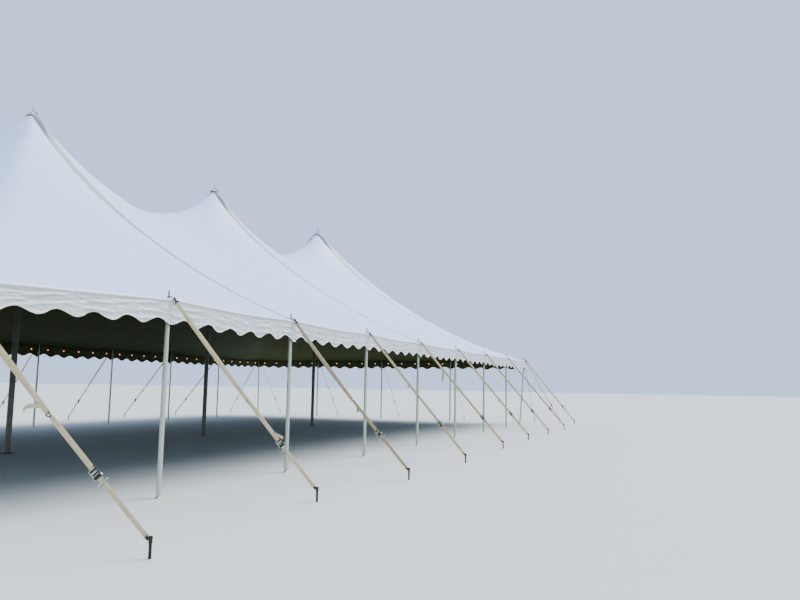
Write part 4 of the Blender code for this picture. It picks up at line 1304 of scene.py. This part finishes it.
def guys_of(label, x, y, corner, end_reach):
    """Turn and reach of each guy at one pole."""
    if corner:
        found = []
        for angle, reach in RIGHT_CORNER_GUYS if x > 0 else LEFT_CORNER_GUYS:
            out = math.radians(angle)
            along = math.cos(out) if x > 0 else -math.cos(out)
            found.append((math.atan2(math.copysign(math.sin(out), y), along), reach))
        return found
    side, number = label.split("_")
    if side in (LEFT, RIGHT):
        return [(math.pi if side == LEFT else 0.0, end_reach)]
    along, out = LONG_SIDE_STAKES[int(number) - 1]
    return [(math.atan2(math.copysign(out, y), along), math.hypot(along, out))]


def ribbon(name, stations, finish, arch=0.0):
    """Webbing through stations of (x, y, z, width, twist), its edges bent back by an arch."""
    stations = np.array(stations, float)
    middle, width, twist = stations[:, :3], stations[:, 3:4], stations[:, 4:5]
    way = np.gradient(middle, axis=0)
    way /= np.linalg.norm(way, axis=1, keepdims=True)
    level = np.cross((0.0, 0.0, 1.0), way)
    level /= np.linalg.norm(level, axis=1, keepdims=True)
    across = level * np.cos(twist) + np.array((0.0, 0.0, 1.0)) * np.sin(twist)
    face = np.cross(way, across)
    share = np.array([-1.0, -0.94, -0.6, -0.3, 0.0, 0.3, 0.6, 0.94, 1.0])
    side = share * width / 2
    bend = -arch * np.abs(share) ** 1.4
    points = middle[:, None] + across[:, None] * side[..., None]
    points = points + face[:, None] * bend[:, None]
    steps = np.linalg.norm(np.diff(middle, axis=0), axis=1)
    travelled = np.concatenate([[0.0], np.cumsum(steps)])[:, None]
    flat = np.stack([np.broadcast_to(travelled, side.shape), side], -1)
    return with_thickness(grid_piece(name, points, flat, [finish]), WEBBING_THICKNESS)


def straight(stations):
    """Stations of a straight strap from its distances down the line, heights and widths."""
    return [(x, 0.0, z, width, 0.0) for x, z, width in stations]


def d_ring(name, half_width, depth, radius, finish):
    """A D of steel rod lying flat: its straight side at the origin, its bow along +X."""
    bow = [math.pi * k / BOW_STEPS for k in range(BOW_STEPS + 1)]
    points = [(depth * math.sin(a), -half_width * math.cos(a), 0.0) for a in bow]
    return bent_rod(name, points, radius, finish, closed=True)


class GuyKit:
    """The pieces of one guy, made once.

    In the strap's frame X runs down the line, Y is across the webbing and Z is its face.
    """

    def __init__(self, sizes, eave_height):
        self.sizes = sizes
        self.length = self.line(eave_height + PLATE_LIFT, MASTER_REACH)[0]
        self.webbing = woven_tape("woven_polyester_webbing", sizes.webbing_colour)
        self.weathered = woven_tape("weathered_polyester_webbing", sizes.weathered_colour)
        self.zinc = plated_steel("zinc_plated_steel", sizes.zinc_colour)
        self.dark = forged_steel("dark_ring_steel_and_painted_shade", from_hex("#2A2C2A"))
        self.forged = forged_steel("weathered_stake_steel", sizes.stake_colour)
        self.joint = JOINT_AT * self.length
        self.ratchet = CROSS_BAR_AT * self.length - RATCHET_LONG
        self.on_strap = [self.strap(), self.irons()]
        self.on_pin = [self.tab(), self.ring()]
        self.at_stake = [self.stake()]
        self.tails = {
            "hanging": self.tail("hanging", self.joint),
            "folded": self.tail("folded", self.ratchet),
            "tab": self.tail("short", 0.44 * self.length),
            "loose": self.tail("loose", 0.28 * self.length),
            "stub": self.tail("short", 0.60 * self.length),
        }

    def line(self, plate_z, reach):
        """Length and tilt of the strap's line from under a pin's plate to its stake."""
        fall = plate_z - STRAP_UNDER - (self.sizes.stake_height - TIE_BELOW_TOP)
        run = reach - STRAP_OUT
        return math.hypot(fall, run), math.atan2(fall, run)

    def tab(self):
        """The webbing tab on the pin, turned down over the eave and back round its ring."""
        width = self.sizes.strap_width
        over = [(-0.03, 0.004), (0.0, 0.005), (0.04, 0.005), (0.060, 0.002), (0.070, -0.004)]
        over += [(0.075, -0.011), (0.0755, -0.016)]
        under = [(0.046, -0.008), (0.060, -0.011), (0.068, -0.015), (0.0735, -0.019)]
        grommet = [(0.024, 0.0055), (0.024, 0.0095), (0.019, 0.0125), (0.011, 0.0135)]
        pieces = [
            ribbon("over", straight([(x, z, width) for x, z in over]), self.webbing),
            ribbon("under", straight([(x, z, width * UNDER_SHARE) for x, z in under]), self.webbing),
            turned("grommet", grommet, 20, self.dark),
            block("pin_plate", (0.030, 0.044, 0.010), (0.030, 0.0, 0.010), 0.004, self.dark),
            # The shackle is partly a dark steel part and partly painted shade that fills the ring's
            # shaded inside.
            block("shackle", (0.014, 0.040, 0.036), (0.076, 0.0, -0.012), 0.005, self.dark),
        ]
        return joined("tab", pieces)

    def ring(self):
        """The D-ring in the tab's fold, which hangs down to the strap's own ring."""
        ring = d_ring("ring", self.sizes.strap_width / 2 + RING_EASE, 0.053, 0.0075, self.dark)
        return laid(ring, (0.072, 0.0, -0.012), Matrix.Rotation(RING_TILT, 4, "Y"))

    def strap(self):
        """Doubled upper strap, plain strap to the ratchet, and the short and lower straps."""
        joint, ratchet, total = self.joint, self.ratchet, self.length
        upper = [
            (RING_BAR, 0.005, 0.040), (0.050, 0.007, 0.042), (0.25, 0.007, 0.044),
            (0.6 * joint, 0.006, 0.048), (joint - 0.12, 0.005, 0.049),
            (joint - 0.07, 0.012, 0.046), (joint - 0.03, 0.011, 0.042), (joint, 0.003, 0.034),
        ]
        under = [
            (RING_BAR, -0.003, 0.039), (0.050, -0.003, 0.041), (joint - 0.1, -0.002, 0.048),
            (joint - 0.015, -0.002, 0.038),
        ]
        plain = [
            (joint + 0.012, 0.0, 0.036), (joint + 0.04, 0.0, 0.044), (joint + 0.14, 0.0, 0.049),
            (ratchet - 0.2, 0.0, 0.050), (ratchet - 0.03, 0.002, 0.050),
            (ratchet, 0.006, 0.050),
        ]
        short = [
            (ratchet + 0.086, 0.003, 0.044), (ratchet + 0.11, 0.0, 0.048),
            (ratchet + 0.138, 0.0, 0.047),
        ]
        lower = [
            (ratchet + 0.144, 0.0, 0.046), (ratchet + 0.25, 0.0, 0.046),
            (total - 0.15, 0.0, 0.044), (total - HOOK_LONG, 0.0, 0.042),
        ]
        arches = ((upper, 0.009), (under, 0.009), (plain, 0.009), (short, 0.003), (lower, 0.007))
        pieces = [ribbon("web", straight(rows), self.webbing, arch) for rows, arch in arches]
        pieces.append(cross_rod("turn", (RING_BAR, 0.0, 0.0), 0.0065, 0.0215, self.webbing))
        pieces.append(cross_rod("turn", (ratchet, 0.0, 0.003), 0.0065, 0.0275, self.webbing))
        return joined("strap", pieces)

    def irons(self):
        """The strap's own ring, the joint's hook, the ratchet, its cross bar and the stake hook."""
        joint, ratchet, total = self.joint, self.ratchet, self.length
        zinc, dark = self.zinc, self.dark
        half_turn = Matrix.Rotation(math.pi, 4, "Z")
        own_ring = d_ring("ring", self.sizes.strap_width / 2 + RING_EASE, 0.024, 0.0070, dark)
        hook = [
            (joint - 0.020, -0.013, 0.010), (joint - 0.005, -0.018, 0.011),
            (joint + 0.012, -0.015, 0.009), (joint + 0.018, 0.0, 0.007),
            (joint + 0.012, 0.015, 0.009), (joint - 0.005, 0.018, 0.011),
            (joint - 0.020, 0.013, 0.010),
        ]
        pieces = [
            laid(own_ring, (RING_BAR, 0.0, 0.0), half_turn),
            bent_rod("hook", hook, 0.005, dark),
            cross_rod("pull_rod", (ratchet + 0.012, 0.0, 0.008), 0.006, 0.034, dark),
            block("grip", (0.019, 0.060, 0.009), (ratchet + 0.0315, 0.0, 0.005), 0.003, zinc),
            block("stay", (0.007, 0.060, 0.007), (ratchet + 0.0585, 0.0, 0.004), 0.002, zinc),
            # The dark back plate is painted shade: it darkens the ratchet's slots, as their shade
            # would.
            block("back", (0.090, 0.058, 0.004), (ratchet + 0.045, 0.0, -0.006), 0.001, dark),
            cross_rod("spool", (ratchet + 0.080, 0.0, 0.004), 0.012, 0.034, dark),
            block("rail", (0.085, 0.010, 0.016), (ratchet + 0.0385, -0.033, 0.004), 0.002, zinc),
            # The second rail is dark as painted shade on the ratchet's shaded side; the first has the
            # zinc.
            block("rail", (0.085, 0.010, 0.016), (ratchet + 0.0385, 0.033, 0.004), 0.002, dark),
            block("pawl", (0.035, 0.010, 0.012), (ratchet - 0.008, 0.033, 0.009), 0.002, dark),
            cross_rod("cross_bar", (ratchet + RATCHET_LONG, 0.0, 0.0), 0.008, 0.054, zinc),
            block("tie_hook", (0.036, 0.030, 0.007), (total - 0.043, 0.0, -0.001), 0.003, dark),
        ]
        for side in (-1, 1):
            place = (ratchet + 0.080, side * 0.040, 0.004)
            pieces.append(cross_rod("gear", place, 0.016, 0.003, zinc, 14))
        return joined("irons", pieces)

    def stake(self):
        """A driven stake with its deep hammered head, and the hook's ring round its neck."""
        high = self.sizes.stake_height
        neck = high - 0.045
        profile = [
            (0.0135, 0.0), (0.0132, 0.05), (0.0135, neck), (0.0155, neck + 0.012),
            (0.0170, neck + 0.018), (0.0178, high - 0.006), (0.0160, high - 0.001), (0.010, high),
        ]
        shaft = turned("stake", profile, 18, self.forged)
        turns = [math.tau * k / 16 for k in range(16)]
        loop = [(0.0175 * math.cos(a), 0.0175 * math.sin(a), neck - 0.004) for a in turns]
        return joined("stake", [shaft, bent_rod("loop", loop, 0.004, self.dark, closed=True)])

    def tail(self, shape, at):
        """Spare webbing that leaves the strap so far down its line."""
        arch, *stations = TAIL_SHAPES[shape]
        stations = [(at + x, *rest) for x, *rest in stations]
        return ribbon("tail", stations, self.webbing, arch)

    def sagged_copy(self, piece, sag, matrix):
        """A copy that dips under its line, most above the middle, and is then moved."""
        copy = moved_copy(piece, "part", Matrix.Identity(4))
        for vertex in copy.data.vertices:
            share = min(max(vertex.co.x / self.length, 0.0), 1.0)
            vertex.co.y -= sag * math.sin(math.pi * share**0.6)
        copy.data.transform(matrix)
        return copy

    def remove_masters(self):
        remove(*self.on_strap, *self.on_pin, *self.at_stake, *self.tails.values())


TAILS = {"near_0": "hanging", "near_1": "folded", "near_3": "tab", "near_4": "loose"}
SAGS = {"near_0": 0.030, "near_1": 0.028, "near_2": 0.045}  # of the straps that hang slackest
PLAIN_SAG = 0.008
ON_PIN_STEP = 0.005  # between the tabs of a corner's guys, one on another
WEATHERED = ("near_2", "far_2", "far_5", "left_2", "right_3")  # guys with the oldest webbing


class MARQUEE_OT_guys(MarqueeOperator, bpy.types.Operator):
    """Run the webbing guys from every side pole down to their stakes"""

    bl_idname = "marquee.guys"
    bl_label = "Guys and stakes"

    def execute(self, context):
        sizes = context.scene.marquee_guys
        kit = GuyKit(sizes, context.scene.marquee_roof.eave_height)
        for label, x, y, corner in side_pole_labels():
            plate_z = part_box(f"side_pole_{label}")[1][2] - PIN_BELOW_TOP
            pieces = []
            guys = guys_of(label, x, y, corner, sizes.end_reach)
            for number, (turn, reach) in enumerate(guys):
                pole = Matrix.Translation((x, y, 0.0)) @ Matrix.Rotation(turn, 4, "Z")
                plate = pole @ Matrix.Translation((0.0, 0.0, plate_z))
                on_pin = plate @ Matrix.Translation((0.0, 0.0, ON_PIN_STEP * number))
                long, tilt = kit.line(plate_z, reach)
                strap = plate @ Matrix.Translation((STRAP_OUT, 0.0, -STRAP_UNDER))
                strap = strap @ Matrix.Rotation(tilt, 4, "Y") @ Matrix.Rotation(math.pi / 2, 4, "X")
                strap = strap @ Matrix.Diagonal((long / kit.length, 1.0, 1.0, 1.0))
                at_stake = pole @ Matrix.Translation((reach, 0.0, 0.0))
                tail = kit.tails[TAILS.get(label, "stub")]
                sag = SAGS.get(label, PLAIN_SAG)
                pieces += [kit.sagged_copy(piece, sag, strap) for piece in (*kit.on_strap, tail)]
                pieces += [moved_copy(piece, "part", on_pin) for piece in kit.on_pin]
                pieces += [moved_copy(piece, "part", at_stake) for piece in kit.at_stake]
            node = f"corner_guys_{label}" if corner else f"guy_{label}"
            made = hang(joined(f"guys_{label}", pieces), "cream_webbing", node)
            if label in WEATHERED:
                webbing = made.data.materials.find(kit.webbing.name)
                made.data.materials[webbing] = kit.weathered
        kit.remove_masters()
        return {"FINISHED"}


# Lamps

CABLE_UNDER_EAVE = 0.085
CABLE_THINNESS = 0.8  # the cable that shows, against the frame's
SOLID_TUBE_RADIUS = 0.0285  # of the frame's side poles, which have eight sides
TOUCH_GAP = 0.0003  # from a pole to the frame's cable


class MARQUEE_OT_lamps(MarqueeOperator, bpy.types.Operator):
    """String the lamps on their cable along the inside of the eave"""

    bl_idname = "marquee.lamps"
    bl_label = "Lamp string"

    def execute(self, context):
        sizes = context.scene.marquee_lamps
        points, lamps = self.route(self.tent, sizes)
        rubber = rubber_cable("rubber_lamp_cable")
        radius = sizes.cable_radius * CABLE_THINNESS
        cable = bent_rod("lamp_cable_run", points, radius, rubber, closed=True)
        hang(cable, "lamp_cable", "lamp_string")
        profile = [
            (0.008, 0.008), (0.0095, 0.004), (0.0095, -0.012), (0.0115, -0.014),
            (0.0115, -0.022), (0.009, -0.023),
        ]
        holder = turned("holder", profile, 12, rubber)
        profile = [
            (0.0075, -0.022), (0.011, -0.028), (0.0155, -0.036), (0.0165, -0.043),
            (0.0145, -0.050), (0.009, -0.0565), (0.003, -0.059),
        ]
        glass = frosted_bulb("frosted_bulb_glass", sizes.glass_colour, sizes.glow)
        bulb = turned("bulb", profile, 14, glass)
        for master, name in ((holder, "lamp_holders"), (bulb, "lamp_bulbs")):
            copies = [moved_copy(master, "part", Matrix.Translation(at)) for at in lamps]
            hang(joined(name, copies), "lamp_cable")
        remove(holder, bulb)
        return {"FINISHED"}

    def route(self, form, sizes):
        """Points of the cable round the inside of the poles, and the places of its lamps."""
        roof = form.sizes
        inset = SOLID_TUBE_RADIUS * math.cos(math.pi / 8) + sizes.cable_radius + TOUCH_GAP
        half_x, half_y = form.half_length - inset, form.half_width - inset
        bays_long = SECTIONS * SECTION_BAYS
        sides = (
            (Vector((1, 0)), half_x, half_y, bays_long),
            (Vector((0, 1)), half_y, half_x, BAYS_WIDE),
            (Vector((-1, 0)), half_x, half_y, bays_long),
            (Vector((0, -1)), half_y, half_x, BAYS_WIDE),
        )
        per_bay = sizes.lamps_per_bay
        points, lamps = [], []
        for along, half, away, bays in sides:
            out = Vector((along.y, -along.x))
            for k in range(bays * per_bay * 2):
                at = -half + 2 * half * k / (bays * per_bay * 2)
                spot = out * away + along * at
                share = k / 2
                slack = spot.x + form.half_length + spot.y + form.half_width
                drop = roof.slack_drop * max(0.0, 1 - slack / roof.bay)
                dip = sizes.cable_sag * abs(math.sin(math.pi * share)) ** 1.5
                z = roof.eave_height - drop - CABLE_UNDER_EAVE - dip
                points.append((spot.x, spot.y, z))
                if k % 2:
                    lamps.append((spot.x, spot.y, z))
        return points, lamps


# Floor, light and camera

CAMERA_PLACE = (-16.5585, -12.1549, 1.4132)
CAMERA_YAW = 0.3767  # from along the tent towards across it
CAMERA_PITCH = 0.1162
CAMERA_ROLL = 0.016
CAMERA_LENS, SENSOR_WIDTH = 32.87, 36.0  # in mm
FARTHEST = 1000.0  # beyond this the camera sees nothing
LIGHT_SPREAD, LIGHT_TILT = 45, (24, 35)  # of the overhead light, in degrees


class MARQUEE_OT_stage(MarqueeOperator, bpy.types.Operator):
    """Set the plain floor, the soft light and the camera"""

    bl_idname = "marquee.stage"
    bl_label = "Floor, light and camera"

    def execute(self, context):
        sizes = context.scene.marquee_stage
        nothing_selected()
        bpy.ops.mesh.primitive_plane_add(size=sizes.floor_size, location=(0.0, 0.0, 0.0))
        floor = named(context.active_object, "floor")
        coat(floor, plain_floor("plain_pale_floor", sizes.floor_colour))
        world = bpy.data.worlds.new("soft_surroundings")
        world.use_nodes = True
        sky = world.node_tree.nodes["Background"]
        sky.inputs["Color"].default_value = (*sizes.sky_colour, 1.0)
        sky.inputs["Strength"].default_value = sizes.sky_strength
        context.scene.world = world
        lamp = bpy.data.lights.new("overhead_light", "SUN")
        lamp.energy = sizes.sun_strength
        lamp.angle = math.radians(LIGHT_SPREAD)
        light = bpy.data.objects.new("overhead_light", lamp)
        light.rotation_euler = (*(math.radians(turn) for turn in LIGHT_TILT), 0.0)
        context.scene.collection.objects.link(light)
        self.add_camera(context)
        return {"FINISHED"}

    def add_camera(self, context):
        """The camera, off the near left corner and a little rolled."""
        lens = bpy.data.cameras.new("camera")
        lens.lens, lens.sensor_width = CAMERA_LENS, SENSOR_WIDTH
        lens.clip_end = FARTHEST
        forward = Vector(
            (
                math.cos(CAMERA_YAW) * math.cos(CAMERA_PITCH),
                math.sin(CAMERA_YAW) * math.cos(CAMERA_PITCH),
                math.sin(CAMERA_PITCH),
            )
        )
        right = Vector((math.sin(CAMERA_YAW), -math.cos(CAMERA_YAW), 0.0))
        up = right.cross(forward)
        across = right * math.cos(CAMERA_ROLL) + up * math.sin(CAMERA_ROLL)
        above = up * math.cos(CAMERA_ROLL) - right * math.sin(CAMERA_ROLL)
        turn = Matrix((across, above, -forward)).transposed().to_4x4()
        camera = bpy.data.objects.new("camera", lens)
        camera.matrix_world = Matrix.Translation(CAMERA_PLACE) @ turn
        context.scene.collection.objects.link(camera)
        context.scene.camera = camera


class MARQUEE_PT_panel(bpy.types.Panel):
    """Lists the steps and every size and colour"""

    bl_idname = "MARQUEE_PT_panel"
    bl_label = "Marquee"
    bl_space_type = "VIEW_3D"
    bl_region_type = "UI"
    bl_category = "Marquee"

    def draw(self, context):
        for operator in OPERATORS:
            self.layout.operator(operator.bl_idname)
        for name, group in SETTINGS.items():
            box = self.layout.box()
            for key in group.__annotations__:
                box.prop(getattr(context.scene, name), key)


SETTINGS = {
    "marquee_roof": MarqueeRoofSettings,
    "marquee_valance": MarqueeValanceSettings,
    "marquee_poles": MarqueePoleSettings,
    "marquee_guys": MarqueeGuySettings,
    "marquee_lamps": MarqueeLampSettings,
    "marquee_stage": MarqueeStageSettings,
}
OPERATORS = (
    MARQUEE_OT_stage,
    MARQUEE_OT_roof_cloth,
    MARQUEE_OT_valance,
    MARQUEE_OT_seam_flaps,
    MARQUEE_OT_side_poles,
    MARQUEE_OT_centre_poles,
    MARQUEE_OT_guys,
    MARQUEE_OT_lamps,
)


def register():
    """Adds the settings to the scene and makes the operators and the panel known."""
    for name, group in SETTINGS.items():
        bpy.utils.register_class(group)
        setattr(bpy.types.Scene, name, bpy.props.PointerProperty(type=group))
    for operator in OPERATORS:
        bpy.utils.register_class(operator)
    bpy.utils.register_class(MARQUEE_PT_panel)


def unregister():
    """Takes back what register did, in the other order."""
    bpy.utils.unregister_class(MARQUEE_PT_panel)
    for operator in reversed(OPERATORS):
        bpy.utils.unregister_class(operator)
    for name, group in SETTINGS.items():
        delattr(bpy.types.Scene, name)
        bpy.utils.unregister_class(group)


def main():
    """Builds the tent step by step."""
    register()
    for operator in OPERATORS:
        area, action = operator.bl_idname.split(".")
        getattr(getattr(bpy.ops, area), action)()


if __name__ == "__main__":
    main()
